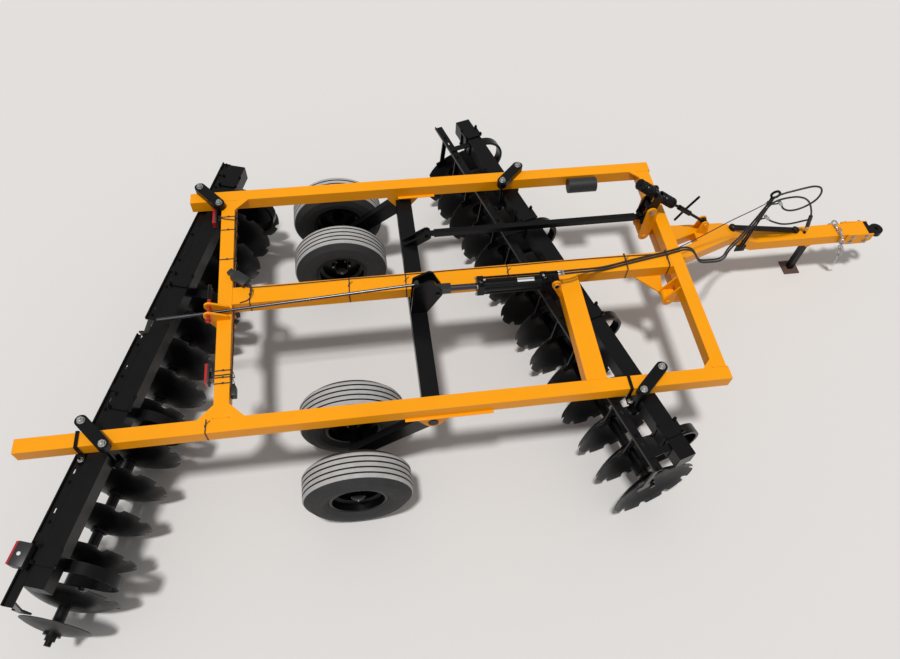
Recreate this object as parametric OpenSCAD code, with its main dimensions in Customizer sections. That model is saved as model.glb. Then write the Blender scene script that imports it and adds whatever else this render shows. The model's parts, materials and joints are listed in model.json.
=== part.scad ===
// Trailed offset disc harrow with a rigid frame, parked with its blades just above the ground.
// Millimetres. +X points to the hitch, +Y to the machine's left, +Z up, ground at z = 0.
// The layout is drawn from the rear cross tube's rear face (x = 0) and the right rail's outer
// face (y = 0); at_origin() then moves the plan centre of the whole machine to the origin.

/* [Frame] */
// Height of the frame's top face above the ground
frame_top = 1030; // [1010:5:1060]
// Side of the square frame tube
tube = 102; // [96:1:108]
// Wall of the frame and beam tubes
tube_wall = 6.4; // [5:0.1:8]
// Width of the flat tubes in the middle of the frame
wide_tube = 152; // [140:1:160]
// Overall width over the two side rails
frame_width = 2168; // [2140:1:2200]
// Distance from the rear cross tube's rear face to the front cross tube's front face
frame_length = 3577; // [3550:1:3600]
// How far the right rail runs on behind the rear cross tube
right_tail = 1248; // [1230:1:1260]
// How far the left rail runs on behind the rear cross tube
left_tail = 252; // [240:1:260]
// Centre line of the middle tube, from the right rail's outer face
middle_y = 1101; // [1080:1:1120]
// Centre of the inner cross tube, from the rear cross tube's rear face
inner_x = 2624; // [2610:1:2640]
// Thickness of the corner gusset plates
gusset_t = 10; // [8:1:14]
// Leg of the rear corner gusset plates
gusset_rear = 104; // [96:1:112]
// Leg of the front corner gusset plates
gusset_front = 70; // [60:1:90]
// How far the rails stand proud of the front cross tube
rail_nose = 13; // [0:1:20]

/* [Gangs] */
// Side of the square gang beams
beam = 127; // [120:1:134]
// Length of the front gang beam
front_beam_len = 3608; // [3560:1:3650]
// Length of the rear gang beam
rear_beam_len = 3578; // [3560:1:3620]
// Centre of the front gang beam along the machine
front_beam_x = 2612; // [2600:1:2625]
// Centre of the front gang beam across the machine
front_beam_y = 1226; // [1215:1:1240]
// Centre of the rear gang beam along the machine
rear_beam_x = -461; // [-470:1:-450]
// Centre of the rear gang beam across the machine
rear_beam_y = 861; // [850:1:870]
// Angle of the front gang from square across
front_angle = 16.6; // [16:0.1:17]
// Angle of the rear gang from square across
rear_angle = 18.1; // [17.5:0.1:18.5]
// Blades on each gang
blades = 14; // [10:2:14]
// Blade spacing along the gang bolts
pitch = 266.7; // [262:0.1:268]
// How far the rear gang's blades are shifted along their beam
rear_shift = 50; // [40:1:60]
// How far the front gang's blades are shifted along their beam
front_shift = 65; // [50:1:75]
// Blade diameter
blade_d = 660; // [640:5:680]
// Blade thickness
blade_t = 6; // [5:0.5:8]
// Depth of the blade's dish
blade_dish = 92; // [80:1:100]
// Notches round each blade
notches = 10; // [8:1:12]
// Height of the gang bolts above the ground
gang_z = 335; // [332:1:345]
// How far the gang bolts lie from the middle of their beams
gang_offset = 62; // [55:1:75]
// Diameter of the plain blade at the rear gang's right end
plain_d = 470; // [450:5:490]

/* [Running gear] */
// Tyre outside diameter
tyre_d = 790; // [780:1:800]
// Tyre width
tyre_w = 280; // [270:1:285]
// Rim diameter over the tyre beads
rim_d = 394; // [385:1:400]
// Distance from the wheel arm's middle to each tyre's middle
wheel_offset = 280; // [270:1:290]
// Wheel axis from the rear cross tube's rear face
wheel_x = 890; // [880:1:900]
// Rockshaft axis from the rear cross tube's rear face
rock_x = 1462; // [1455:1:1470]
// Rockshaft axis above the ground
rock_z = 838; // [834:1:842]
// Side of the square rockshaft tube
rock_tube = 127; // [120:1:130]
// Thickness of the wheel arms
arm_t = 54; // [48:1:58]

/* [Tongue] */
// Hitch pin centre from the rear cross tube's rear face
hitch_x = 5790; // [5750:5:5830]
// Height of the hitch above the ground
hitch_z = 470; // [460:5:490]
// Line of pull from the right rail's outer face
tongue_y = 1655; // [1645:1:1665]
// Tongue tube width
tongue_w = 140; // [130:1:152]
// Tongue tube height
tongue_h = 102; // [96:1:110]
// Tongue hinge pins along the machine
hinge_x = 3420; // [3400:5:3430]
// Height of the tongue hinge pins
hinge_z = 840; // [830:1:850]
// Right tongue hinge from the right rail's outer face
hinge_right = 880; // [860:5:900]
// Hitch pin bore diameter
hitch_bore = 33; // [30:0.5:36]
// Parking stand's pivot along the machine
stand_x = 5150; // [5100:5:5200]
// Outside diameter of the hydraulic hoses
hose_d = 16; // [12:1:18]

/* [Linkage] */
// Line of the lift cylinder from the right rail's outer face
cyl_y = 940; // [930:1:945]
// Height of the lift cylinder's pins
cyl_z = 1115; // [1105:1:1125]
// Length of the cylinder barrel from its base pin
barrel_len = 600; // [580:5:620]
// Bore of every linkage pin
pin_d = 32; // [28:1:36]
// Line of the levelling tube from the right rail's outer face
level_y = 1590; // [1580:1:1600]
// Side of the square levelling tube
level_tube = 46; // [42:1:48]
// Height of the levelling tube's rear pin
level_z = 988; // [980:1:995]
// Distance of both lever pins ahead of the rockshaft
lever_x = 140; // [130:1:150]
// Crank pivot behind the front cross tube's rear face
crank_back = 55; // [50:1:60]
// Crank pivot above the frame's top face
crank_up = 90; // [80:1:100]
// Slope of the levelling spring rod
spring_slope = 36.2; // [35:0.1:38]
// Outside diameter of the levelling springs
spring_d = 84; // [76:1:90]

/* [Placing] */
// Plan centre of the whole machine along the layout
plan_x = 2245.6; // [2180:0.1:2280]
// Plan centre of the whole machine across the layout
plan_y = 983.8; // [930:0.1:1010]

/* [Hidden] */
$fn = 48;
yellow = "#f5a300";
black = "#1c1c20";
steel = "#9a9c9c";
rubber = "#2a2a2c";
red = "#b01818";
fit = 0.05;
seat_gap = 0.3;
frame_bottom = frame_top - tube;
beam_bottom = frame_bottom - beam;
left_y = frame_width - tube;
arm_ys = [tube / 2, left_y + tube / 2];
wheel_z = tyre_d / 2;

// Middle line of the two hoses from the cylinder's ports along the middle tube to the slack ahead
// of the front cross tube, and on from there up the tongue's holder post
frame_route = [[2557, 940, 1183], [2620, 950, 1172], [2700, 984, 1128], [2800, 1020, 1080], [2900, 1047, 1050],
    [3000, 1070, 1038.5], [3150, 1100, 1038.5], [3300, 1127, 1038.5], [3450, 1152, 1038.5], [3560, 1176, 1038.5],
    [3620, 1182, 1038], [3670, 1184, 1020], [3710, 1184, 984], [3742, 1184, 936], [3774, 1184, 888],
    [3806, 1186, 855], [3845, 1188, 841], [3890, 1188, 840]];
tongue_route = [[3890.3, 1188, 840], [3935, 1188, 839], [3985, 1202, 828], [4040, 1240, 798], [4100, 1300, 752],
    [4160, 1370, 708], [4220, 1430, 680], [4280, 1480, 674], [4335, 1513, 702], [4378, 1535, 765],
    [4408, 1543, 850], [4430, 1544, 950], [4448, 1544, 1040]];
ring_loop = [[4464, 1556, 1100], [4498, 1556, 1150], [4550, 1556, 1178], [4620, 1556, 1198], [4700, 1556, 1220],
    [4780, 1556, 1234], [4848, 1556, 1212], [4884, 1556, 1148], [4876, 1556, 1070], [4825, 1556, 1004],
    [4752, 1556, 964], [4680, 1556, 960], [4620, 1556, 990], [4580, 1556, 1040]];
dust_cap_loop = [[4466, 1532, 1088], [4506, 1533, 1124], [4570, 1543, 1130], [4645, 1562, 1116], [4725, 1588, 1084],
    [4810, 1606, 1040], [4880, 1622, 980], [4935, 1636, 912], [4975, 1646, 850], [5003, 1650, 800], [5022.9, 1650, 750.4]];
cap_route = [[5018, 1650, 702], [4960, 1640, 704], [4890, 1622, 712], [4817, 1606, 722], [4735, 1597, 738],
    [4658, 1593, 770], [4595, 1586, 808], [4552, 1574, 848]];
// Couplers at the loops' ends, one row each: the two ends of the axis
couplers = [[[4579.8, 1556, 1040.3], [4540, 1556, 1088]], [[4551.7, 1574, 848.3], [4510, 1574, 890]]];

// Moves the layout so that the machine's plan centre is the origin
module at_origin() {
    translate([-plan_x, -plan_y, 0]) children();
}

// Layout frame of a gang: Y along the beam to the left, X square to it and forwards
module at_front_gang() {
    at_origin() translate([front_beam_x, front_beam_y, 0]) rotate([0, 0, front_angle]) children();
}

// The rear gang is drawn mirrored, so that its open blade sides face +Y
module at_rear_gang() {
    at_origin() translate([rear_beam_x, rear_beam_y, 0]) rotate([0, 0, -rear_angle])
        mirror([0, 1, 0]) children();
}

// Square tube along X with closed ends
module tube_x(x0, x1, y0, w, h = tube, top = frame_top) {
    translate([x0, y0, top - h]) difference() {
        cube([x1 - x0, w, h]);
        translate([tube_wall, tube_wall, tube_wall])
            cube([x1 - x0 - 2 * tube_wall, w - 2 * tube_wall, h - 2 * tube_wall]);
    }
}

// Square tube along Y with closed ends
module tube_y(y0, y1, x0, w, h = tube, top = frame_top) {
    translate([x0 + w, y0, 0]) rotate([0, 0, 90]) tube_x(0, y1 - y0, 0, w, h, top);
}

// Round rod from one point to another
module rod(a, b, r) {
    v = b - a;
    translate(a) rotate([0, acos(v[2] / norm(v)), atan2(v[1], v[0])]) cylinder(h = norm(v), r = r);
}

// Rectangular bar between two points of an XZ plane, w across Y and h square to it
module bar_xz(a, b, y, w, h) {
    v = b - a;
    translate([a[0], y, a[1]]) rotate([0, -atan2(v[1], v[0]), 0])
        translate([0, -w / 2, -h / 2]) cube([norm(v), w, h]);
}

// Round pin or bore along Y, centred on y
module pin_y(x, y, z, r, len) {
    translate([x, y + len / 2, z]) rotate([90, 0, 0]) cylinder(r = r, h = len);
}

// Frame tubes
module rail_right() { color(yellow) at_origin() tube_x(-right_tail, frame_length + rail_nose, 0, tube); }

module rail_left() { color(yellow) at_origin() tube_x(-left_tail, frame_length + rail_nose, left_y, tube); }

module tube_rear_cross() { color(yellow) at_origin() tube_y(tube, left_y, 0, tube); }

module tube_front_cross() {
    color(yellow) at_origin() tube_y(tube, left_y, frame_length - tube, tube);
}

module tube_middle() {
    color(yellow) at_origin()
        tube_x(tube, frame_length - tube, middle_y - wide_tube / 2, wide_tube);
}

module tube_inner_cross() {
    color(yellow) at_origin()
        tube_y(tube, middle_y - wide_tube / 2, inner_x - wide_tube / 2, wide_tube);
}

// Corner plates let into the tops of the tube corners, one row each: x, y, x side, y side, leg
module gussets() {
    front = frame_length - tube;
    rows = [[tube, tube, 0, 0, gusset_rear], [0, tube, 1, 0, gusset_rear], [front, tube, 1, 0, gusset_front],
        [tube, left_y, 0, 1, gusset_rear], [0, left_y, 1, 1, gusset_rear], [front, left_y, 1, 1, gusset_front]];
    color(yellow) at_origin() difference() {
        for (g = rows)
            translate([g[0], g[1], frame_top - gusset_t]) mirror([g[2], 0, 0]) mirror([0, g[3], 0])
                linear_extrude(gusset_t) polygon([[0, 0], [g[4], 0], [0, g[4]]]);
        for (b = strap_bolts, q = b) translate([q[0], q[1], frame_bottom])
            cylinder(r = strap_bolt_r + 3, h = 2 * tube);
    }
}

// Gang beams
module gang_beam(len) {
    tube_y(-len / 2, len / 2, -beam / 2, beam, beam, frame_bottom);
}

module beam_front() { color(black) at_front_gang() gang_beam(front_beam_len); }

module beam_rear() { color(black) at_rear_gang() gang_beam(rear_beam_len); }

// Clamps at the rails: a strap above, a strap below the beam and two long bolts, one row for
// each: the two bolts' x and y
strap_w = 84;
strap_t = 28;
strap_top_t = 52;
strap_bolt_r = 10;
strap_bolts = [[[-824, 160], [-671, -22]], [[3088, 122], [2910, -42]],
    [[2448, 2184], [2288, 2020]], [[-168, 2190], [-11, 1999]]];
strap_high = frame_top - beam_bottom + strap_t + strap_top_t;

module gang_straps() {
    color(black) at_origin() for (b = strap_bolts) {
        v = b[1] - b[0];
        translate([b[0][0], b[0][1], 0]) rotate([0, 0, atan2(v[1], v[0])])
            for (row = [[frame_top, strap_top_t], [beam_bottom - strap_t, strap_t]])
                translate([0, 0, row[0]]) {
                    translate([0, -strap_w / 2, 0]) cube([norm(v), strap_w, row[1]]);
                    for (x = [0, norm(v)]) translate([x, 0, 0]) cylinder(d = strap_w, h = row[1]);
                }
        for (q = b) translate([q[0], q[1], beam_bottom - strap_t - 20]) {
            cylinder(r = strap_bolt_r, h = strap_high + 50);
            cylinder(d = 38, h = 20, $fn = 6);
            translate([0, 0, strap_high + 20]) cylinder(d = 38, h = 18, $fn = 6);
        }
    }
    color(black) at_origin() for (x = rail_clamps) translate([x, 0, 0]) rail_clamp();
}

// Light clamp closed round the right rail, with an ear for its bolt on the outer side
rail_clamps = [-866, 2838];
module rail_clamp() {
    wide = 22;
    bar = 9;
    low = frame_bottom - seat_gap - bar;
    difference() {
        translate([0, -seat_gap - bar, low]) cube([wide, tube + 2 * (seat_gap + bar), tube + 2 * (seat_gap + bar)]);
        translate([-1, -seat_gap, frame_bottom - seat_gap]) cube([wide + 2, tube + 2 * seat_gap, tube + 2 * seat_gap]);
    }
    translate([-14, -66, low]) cube([wide + 28, 60, bar]);
    translate([wide / 2, -44, low]) cylinder(r = 9, h = 46);
    translate([wide / 2, -44, low + bar]) cylinder(d = 30, h = 14, $fn = 6);
}

// Position of a blade's middle along the gang, counted from its open side's end
function blade_s(i) = (i - (blades - 1) / 2) * pitch;
// Sphere radius of the blade's dish, and the dish's depth at a radius
dish_r = (pow(blade_d / 2, 2) + pow(blade_dish, 2)) / (2 * blade_dish);
function dish(r) = dish_r - sqrt(dish_r * dish_r - r * r);
flat_r = 62;
bolt_r = 22;
spool_r = 38;
spool_end_r = 57;

// C spring hangers: clamped under the beam, looped away from the blades and back to a bearing
hanger_gaps = [0, 4, 8, 12];
nest = blade_dish / 2;
spring_w = 75;
spring_t = 22;
bearing_r = 68;
bearing_len = 80;
loop_r = (beam_bottom - gang_z - bearing_r + spring_t) / 2;
loop_x = 120;

module hanger() {
    leg_z = gang_z + bearing_r - spring_t;
    translate([0, spring_w / 2, 0]) rotate([90, 0, 0]) linear_extrude(spring_w) {
        translate([loop_x, leg_z + loop_r]) difference() {
            circle(r = loop_r);
            circle(r = loop_r - spring_t);
            translate([-2 * loop_r, -2 * loop_r]) square([2 * loop_r, 4 * loop_r]);
        }
        translate([-beam / 2, beam_bottom - spring_t]) square([loop_x + beam / 2, spring_t]);
        translate([-gang_offset, leg_z]) square([loop_x + gang_offset, spring_t]);
    }
    difference() {
        pin_y(-gang_offset, 0, gang_z, bearing_r, bearing_len);
        pin_y(-gang_offset, 0, gang_z, spool_r + fit, 2 * bearing_len);
    }
    for (y = [-1, 1]) translate([-beam / 2 - 14, y * (spring_w / 2 + 12) - 9, beam_bottom])
        cube([14, 18, beam + 12]);
    translate([-beam / 2 - 14, -spring_w / 2 - 21, frame_bottom]) cube([beam + 28, spring_w + 42, 12]);
}

module gang_hangers(s) {
    for (g = hanger_gaps) translate([0, s + blade_s(g + 0.5) - nest, 0]) hanger();
}

module hangers_front() {
    color(black) difference() {
        at_front_gang() gang_hangers(front_shift);
        at_origin() translate([inner_x - wide_tube / 2 - 2, tube, frame_bottom - 0.3])
            cube([wide_tube + 4, middle_y - tube, tube]);
    }
}

module hangers_rear() { color(black) at_rear_gang() gang_hangers(rear_shift); }

// Blades: a spherical dish with a flat middle, its open side towards -Y
notch_r = 34;
module blade(d, n) {
    rotate([90, 0, 0]) intersection() {
        linear_extrude(2 * blade_dish) difference() {
            circle(d = d);
            if (n > 0) for (i = [0:n - 1]) rotate(360 * (i + 0.5) / n)
                translate([d / 2 + 8, 0]) circle(r = notch_r);
        }
        rotate_extrude() intersection() {
            union() {
                difference() {
                    translate([0, dish_r]) circle(r = dish_r);
                    translate([0, dish_r + blade_t]) circle(r = dish_r);
                }
                translate([0, dish(flat_r)]) square([flat_r, blade_t]);
            }
            translate([bolt_r, dish(flat_r)]) square([d / 2 + 10, 2 * blade_dish]);
        }
    }
}

module gang_blades(s, first) {
    for (i = [first:blades - 1])
        translate([-gang_offset, s + blade_s(i), gang_z]) blade(blade_d, notches);
}

module blades_front() { color(steel) at_front_gang() gang_blades(front_shift, 0); }

// The plain blade stands beyond the last notched one
plain_gap = 157;
module blades_rear() {
    color(steel) at_rear_gang() {
        gang_blades(rear_shift, 0);
        translate([-gang_offset, rear_shift + blade_s(blades - 1) + plain_gap, gang_z]) blade(plain_d, 0);
    }
}

// Gang bolt, the spools that clamp the blades, and the end washers and nuts
module gang_spools(s, gap) {
    seat = dish(flat_r);
    last = blade_s(blades - 1);
    washer_t = 18;
    translate([-gang_offset, s - seat, gang_z]) rotate([-90, 0, 0]) {
        translate([0, 0, blade_s(0) - 80]) cylinder(r = bolt_r, h = last + gap - blade_s(0) + 160);
        for (i = [0:blades - 2]) translate([0, 0, blade_s(i)]) {
            cylinder(r = spool_r, h = pitch - blade_t);
            cylinder(r = spool_end_r, h = washer_t);
            translate([0, 0, pitch - blade_t - washer_t]) cylinder(r = spool_end_r, h = washer_t);
        }
        if (gap > 0) translate([0, 0, last]) cylinder(r = spool_r, h = gap - blade_t);
        translate([0, 0, last + gap]) cylinder(r = spool_end_r, h = washer_t);
        translate([0, 0, blade_s(0) - blade_t - washer_t]) cylinder(r = spool_end_r, h = washer_t);
        for (z = [blade_s(0) - blade_t - washer_t - 30, last + gap + washer_t])
            translate([0, 0, z]) cylinder(r = 38, h = 30, $fn = 6);
    }
}

module spools_front() { color(black) at_front_gang() gang_spools(front_shift, 0); }

module spools_rear() { color(black) at_rear_gang() gang_spools(rear_shift, plain_gap); }

// Scrapers: an angle bar behind the beam, with a bent shank and a small plate inside each dish
scraper_bar = 68;
scraper_t = 10;
scraper_top = frame_bottom - 24;
scraper_low = 560;
shank_t = 12;
slot_w = 13;
front_bar_x = -262;
rear_bar_x = -146;
module gang_scrapers(s, bar_x, bars) {
    back = -gang_offset - 190;
    reach = norm([back + gang_offset, scraper_low + 60 - gang_z]);
    difference() {
        for (b = bars) translate([bar_x, b[0], scraper_top - scraper_t]) {
            cube([scraper_bar, b[1] - b[0], scraper_t]);
            cube([scraper_t, b[1] - b[0], scraper_t + 14]);
        }
        for (i = [0:blades - 2]) translate([bar_x + 36, s + blade_s(i) + 60, scraper_top - 2 * scraper_t]) {
            for (y = [0, 22]) translate([0, y, 0]) cylinder(d = slot_w, h = 3 * scraper_t);
            translate([-slot_w / 2, 0, 0]) cube([slot_w, 22, 3 * scraper_t]);
        }
    }
    for (i = [0:blades - 1])
        translate([0, s + blade_s(i) - dish(reach) - blade_t - 8, 0]) rotate([90, 0, 0])
            linear_extrude(shank_t) {
                polygon([[bar_x + 15, scraper_top - 4], [bar_x + 55, scraper_top - 4],
                    [back + 20, scraper_low + 50], [back - 20, scraper_low + 50]]);
                polygon([[back - 35, scraper_low - 10], [back + 60, scraper_low + 20],
                    [back + 40, scraper_low + 90], [back - 55, scraper_low + 60]]);
            }
    for (g = hanger_gaps) translate([bar_x, s + blade_s(g + 0.5) - nest - 130, scraper_top])
        cube([-bar_x - beam / 2 - seat_gap, 50, scraper_t]);
    for (g = hanger_gaps) translate([-beam / 2 - 12 - seat_gap, s + blade_s(g + 0.5) - nest - 130, beam_bottom])
        cube([12, 50, scraper_top - beam_bottom]);
}

// Ends of a gang's scraper bars along its beam
function bar_from(s) = s + blade_s(0) - 135;
function bar_to(s) = s + blade_s(blades - 1) + 30;

module scrapers_front() {
    color(black) at_front_gang() gang_scrapers(front_shift, front_bar_x, [[bar_from(front_shift), bar_to(front_shift)]]);
}

// The plain blade's scraper reaches lower, to its smaller rim
module plain_scraper(bar_x) {
    back = -gang_offset - 190;
    translate([0, rear_shift + blade_s(blades - 1) + plain_gap - dish(plain_d / 2) - blade_t - 8, 0]) rotate([90, 0, 0])
        linear_extrude(shank_t) {
            polygon([[bar_x + 15, scraper_top - 4], [bar_x + 55, scraper_top - 4], [back + 60, 560], [back + 20, 560]]);
            polygon([[back + 5, 490], [back + 100, 520], [back + 80, 590], [back - 15, 560]]);
        }
}

module scrapers_rear() {
    color(black) difference() {
        at_rear_gang() {
            gang_scrapers(rear_shift, rear_bar_x, [[bar_from(rear_shift), -160], [-20, bar_to(rear_shift) + 100]]);
            plain_scraper(rear_bar_x);
        }
        at_origin() for (b = strap_bolts, q = b) translate([q[0], q[1], beam_bottom])
            cylinder(r = strap_bolt_r + 1, h = 2 * beam);
    }
}

// Rockshaft brackets: two plates under each rail with the journal bore between them
journal_r = 36;
bracket_t = 14;
rock_drop = 90;
module rock_brackets() {
    color(yellow) at_origin() for (y = [0, tube - bracket_t, left_y, frame_width - bracket_t])
        translate([0, y, 0]) difference() {
            translate([0, bracket_t, 0]) rotate([90, 0, 0]) linear_extrude(bracket_t) hull() {
                translate([rock_x, rock_z]) circle(r = 62);
                translate([rock_x - 130, frame_bottom - 20]) square([260, 20]);
            }
            pin_y(rock_x, bracket_t / 2, rock_z, journal_r + fit, 2 * bracket_t);
        }
}

// Rockshaft: square tube between the inner bracket plates, with journals and lugs for the
// cylinder, the depth rod and the levelling tube
lug_t = 16;
lug_r = 34;
cyl_lug = [rock_x + lever_x, cyl_z];
level_lug = [rock_x + lever_x, level_z];
depth_pin = [rock_x - 7, cyl_z + 75];
lug_peak = [rock_x + 83, cyl_z + 125];
cyl_fork = 34;
level_fork = 23;
module lug_pair(y, gap, pins) {
    for (side = [-1, 1]) translate([0, y + side * (gap + lug_t / 2) + lug_t / 2, 0]) rotate([90, 0, 0])
        linear_extrude(lug_t) hull() {
            for (pin = pins) translate(pin) circle(r = lug_r);
            translate([rock_x - 60, rock_z + rock_tube / 2 - 10]) square([120, 10]);
        }
}

module rockshaft() {
    inner = tube + 6;
    color(black) at_origin() difference() {
        union() {
            translate([rock_x - rock_tube / 2, inner, rock_z - rock_tube / 2])
                cube([rock_tube, frame_width - 2 * inner, rock_tube]);
            for (y = arm_ys) pin_y(rock_x, y, rock_z, journal_r, tube + 12);
            lug_pair(cyl_y, cyl_fork, [cyl_lug, depth_pin, lug_peak]);
            lug_pair(level_y, level_fork, [level_lug]);
        }
        pin_y(cyl_lug[0], cyl_y, cyl_lug[1], pin_d / 2 + fit, 200);
        pin_y(level_lug[0], level_y, level_lug[1], pin_d / 2, 200);
    }
    color(steel) at_origin() pin_y(level_lug[0], level_y, level_lug[1], pin_d / 2, 2 * level_fork + 60);
    color(steel) at_origin() pin_y(depth_pin[0], cyl_y, depth_pin[1], 12, 2 * cyl_fork);
    color(steel) at_origin() for (side = [-1, 1])
        pin_y(cyl_lug[0], cyl_y + side * (cyl_fork + lug_t / 2 + 5), cyl_lug[1], pin_d / 2 + fit, lug_t + 10);
}

// Wheel arms: tapered plates from the rockshaft down to the fixed axle
axle_r = 32;
axle_len = 2 * wheel_offset + 150;
module wheel_arm(y) {
    color(black) at_origin() difference() {
        union() {
            translate([0, y + arm_t / 2, 0]) rotate([90, 0, 0]) linear_extrude(arm_t) hull() {
                translate([rock_x, rock_z]) circle(r = 75);
                translate([wheel_x, wheel_z]) circle(r = 58);
            }
            pin_y(wheel_x, y, wheel_z, axle_r, axle_len);
        }
        pin_y(rock_x, y, rock_z, journal_r, tube);
    }
}

module arm_right() { wheel_arm(arm_ys[0]); }

module arm_left() { wheel_arm(arm_ys[1]); }

// Rim with a drop centre, a disc and a hub round the axle, its outside towards +Z
rim_w = 220;
hub_r = 52;
module rim(side) {
    at_rim = rim_d / 2;
    color(black) rotate([side > 0 ? -90 : 90, 0, 0]) difference() {
        union() {
            rotate_extrude() difference() {
                polygon([[at_rim + 14, -rim_w / 2], [at_rim + 14, -rim_w / 2 + 8], [at_rim, -rim_w / 2 + 14],
                    [at_rim - 4, -50], [at_rim - 30, -34], [at_rim - 30, 34], [at_rim - 4, 50],
                    [at_rim, rim_w / 2 - 14], [at_rim + 14, rim_w / 2 - 8], [at_rim + 14, rim_w / 2],
                    [at_rim - 8, rim_w / 2], [at_rim - 12, 54], [at_rim - 38, 40], [at_rim - 38, -40],
                    [at_rim - 12, -54], [at_rim - 8, -rim_w / 2]]);
            }
            translate([0, 0, -6]) cylinder(r = at_rim - 34, h = 12);
            translate([0, 0, -70]) cylinder(r = hub_r, h = 150);
            translate([0, 0, -16]) cylinder(r = 95, h = 22);
            for (i = [0:5]) rotate([0, 0, 60 * i]) translate([70, 0, 5]) cylinder(r = 13, h = 18, $fn = 6);
        }
        translate([0, 0, -100]) cylinder(r = axle_r + fit, h = 176);
    }
}

module rims(y) {
    at_origin() for (side = [-1, 1]) translate([wheel_x, y + side * wheel_offset, wheel_z]) rim(side);
}

module rims_right() { rims(arm_ys[0]); }

module rims_left() { rims(arm_ys[1]); }

// Tyre: round shoulders, five ribs and sidewalls down to the bead seats
rib_w = 34;
groove = 14;
module tyre(y) {
    r = tyre_d / 2;
    bead = rim_d / 2;
    half = tyre_w / 2;
    color(rubber) at_origin() translate([wheel_x, y, wheel_z]) rotate([90, 0, 0]) rotate_extrude($fn = 96)
        difference() {
            union() {
                polygon([[bead + seat_gap, -rim_w / 2 + 16], [bead + 14, -rim_w / 2 + 10], [bead + 18, -rim_w / 2 - 2],
                    [bead + 55, -half + 4], [r - 110, -half], [r - 55, -half + 8],
                    [r - 12, -half + 42], [r, -half + 60], [r, half - 60], [r - 12, half - 42],
                    [r - 55, half - 8], [r - 110, half], [bead + 55, half - 4],
                    [bead + 18, rim_w / 2 + 2], [bead + 14, rim_w / 2 - 10], [bead + seat_gap, rim_w / 2 - 16]]);
            }
            for (i = [-1.5:1:1.5]) translate([r - groove, i * (rib_w + 6) - 5]) square([groove + 5, 10]);
        }
}

module tyre_right_outer() { tyre(arm_ys[0] - wheel_offset); }

module tyre_right_inner() { tyre(arm_ys[0] + wheel_offset); }

module tyre_left_inner() { tyre(arm_ys[1] - wheel_offset); }

module tyre_left_outer() { tyre(arm_ys[1] + wheel_offset); }

// Hydraulic cylinder between the inner cross tube and the rockshaft lug; its two ports end in
// pipes that point to the hitch, at these places in the cylinder's own frame
port_z = 84;
port_ys = [-12, 12];
port_end = -52.5;
cyl_base = [inner_x - wide_tube / 2 - 50, cyl_z - 15];
cyl_dir = (cyl_lug - cyl_base) / norm(cyl_lug - cyl_base);
barrel_r = 50;
module cylinder_bracket() {
    color(yellow) at_origin() for (side = [-1, 1])
        translate([0, cyl_y + side * (cyl_fork + 8) + 8, 0]) rotate([90, 0, 0])
            linear_extrude(16) hull() {
                translate(cyl_base) circle(r = 34);
                translate([inner_x - wide_tube / 2 - 2, frame_bottom + 10]) square([2, tube - 12]);
            }
    color(steel) at_origin() pin_y(cyl_base[0], cyl_y, cyl_base[1], pin_d / 2, 2 * cyl_fork + 60);
}

// Local frame of the cylinder: X from the base pin to the rod's eye
module along_cylinder() {
    at_origin() translate([cyl_base[0], cyl_y, cyl_base[1]])
        rotate([0, -atan2(cyl_dir[1], cyl_dir[0]), 0]) children();
}

// Eye round a pin along Y, with a bore for it
module eye_y(r, half, bore) {
    rotate([90, 0, 0]) translate([0, 0, -half]) difference() {
        cylinder(r = r, h = 2 * half);
        translate([0, 0, -1]) cylinder(r = bore / 2 + fit, h = 2 * half + 2);
    }
}

// Ports on the barrel's end blocks, drawn upwards from the given height
module ports(low) {
    for (y = port_ys) {
        translate([92, y, low]) cylinder(r = 8, h = port_z - low + 8);
        translate([port_end, y, port_z]) rotate([0, 90, 0]) cylinder(r = 10, h = 100 - port_end);
    }
    translate([barrel_len - 25, port_ys[0], low]) cylinder(r = 8, h = port_z - low + 8);
    translate([90, port_ys[0], port_z]) rotate([0, 90, 0]) cylinder(r = 6, h = barrel_len - 115);
}

module cylinder_barrel() {
    block = 104;
    rod_hole = 23;
    color(black) along_cylinder() {
        difference() {
            union() {
                rotate([90, 0, 0]) translate([0, 0, 2 - cyl_fork]) cylinder(r = 32, h = 2 * cyl_fork - 4);
                translate([25, 4 - cyl_fork, -28]) cube([50, 2 * cyl_fork - 8, 56]);
                translate([70, -block / 2, -block / 2]) cube([45, block, block]);
                translate([100, 0, 0]) rotate([0, 90, 0]) cylinder(r = barrel_r, h = barrel_len - 120);
                translate([barrel_len - 50, -block / 2, -block / 2]) cube([50, block, block]);
                for (y = [-42, 42], z = [-42, 42]) rod([80, y, z], [barrel_len + 12, y, z], 8);
                mirror([0, 0, 1]) ports(block / 2 - 4);
            }
            rotate([90, 0, 0]) translate([0, 0, -60]) cylinder(r = pin_d / 2 + fit, h = 120);
            translate([115, 0, 0]) rotate([0, 90, 0]) cylinder(r = barrel_r - 8, h = barrel_len - 165);
            translate([110, 0, 0]) rotate([0, 90, 0]) cylinder(r = rod_hole + fit, h = barrel_len);
        }
    }
}

module cylinder_rod() {
    pin_to_pin = norm(cyl_lug - cyl_base);
    piston = barrel_len - 220;
    color(steel) along_cylinder() {
        translate([piston, 0, 0]) rotate([0, 90, 0]) cylinder(r = barrel_r - 8.05, h = 40);
        translate([piston + 20, 0, 0]) rotate([0, 90, 0]) cylinder(r = 23, h = pin_to_pin - 25 - piston - 20);
        translate([pin_to_pin, 0, 0]) eye_y(34, cyl_fork - 6, pin_d);
        translate([pin_to_pin - 100, 7 - cyl_fork, -29]) cube([78, 2 * cyl_fork - 14, 58]);
    }
}

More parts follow.
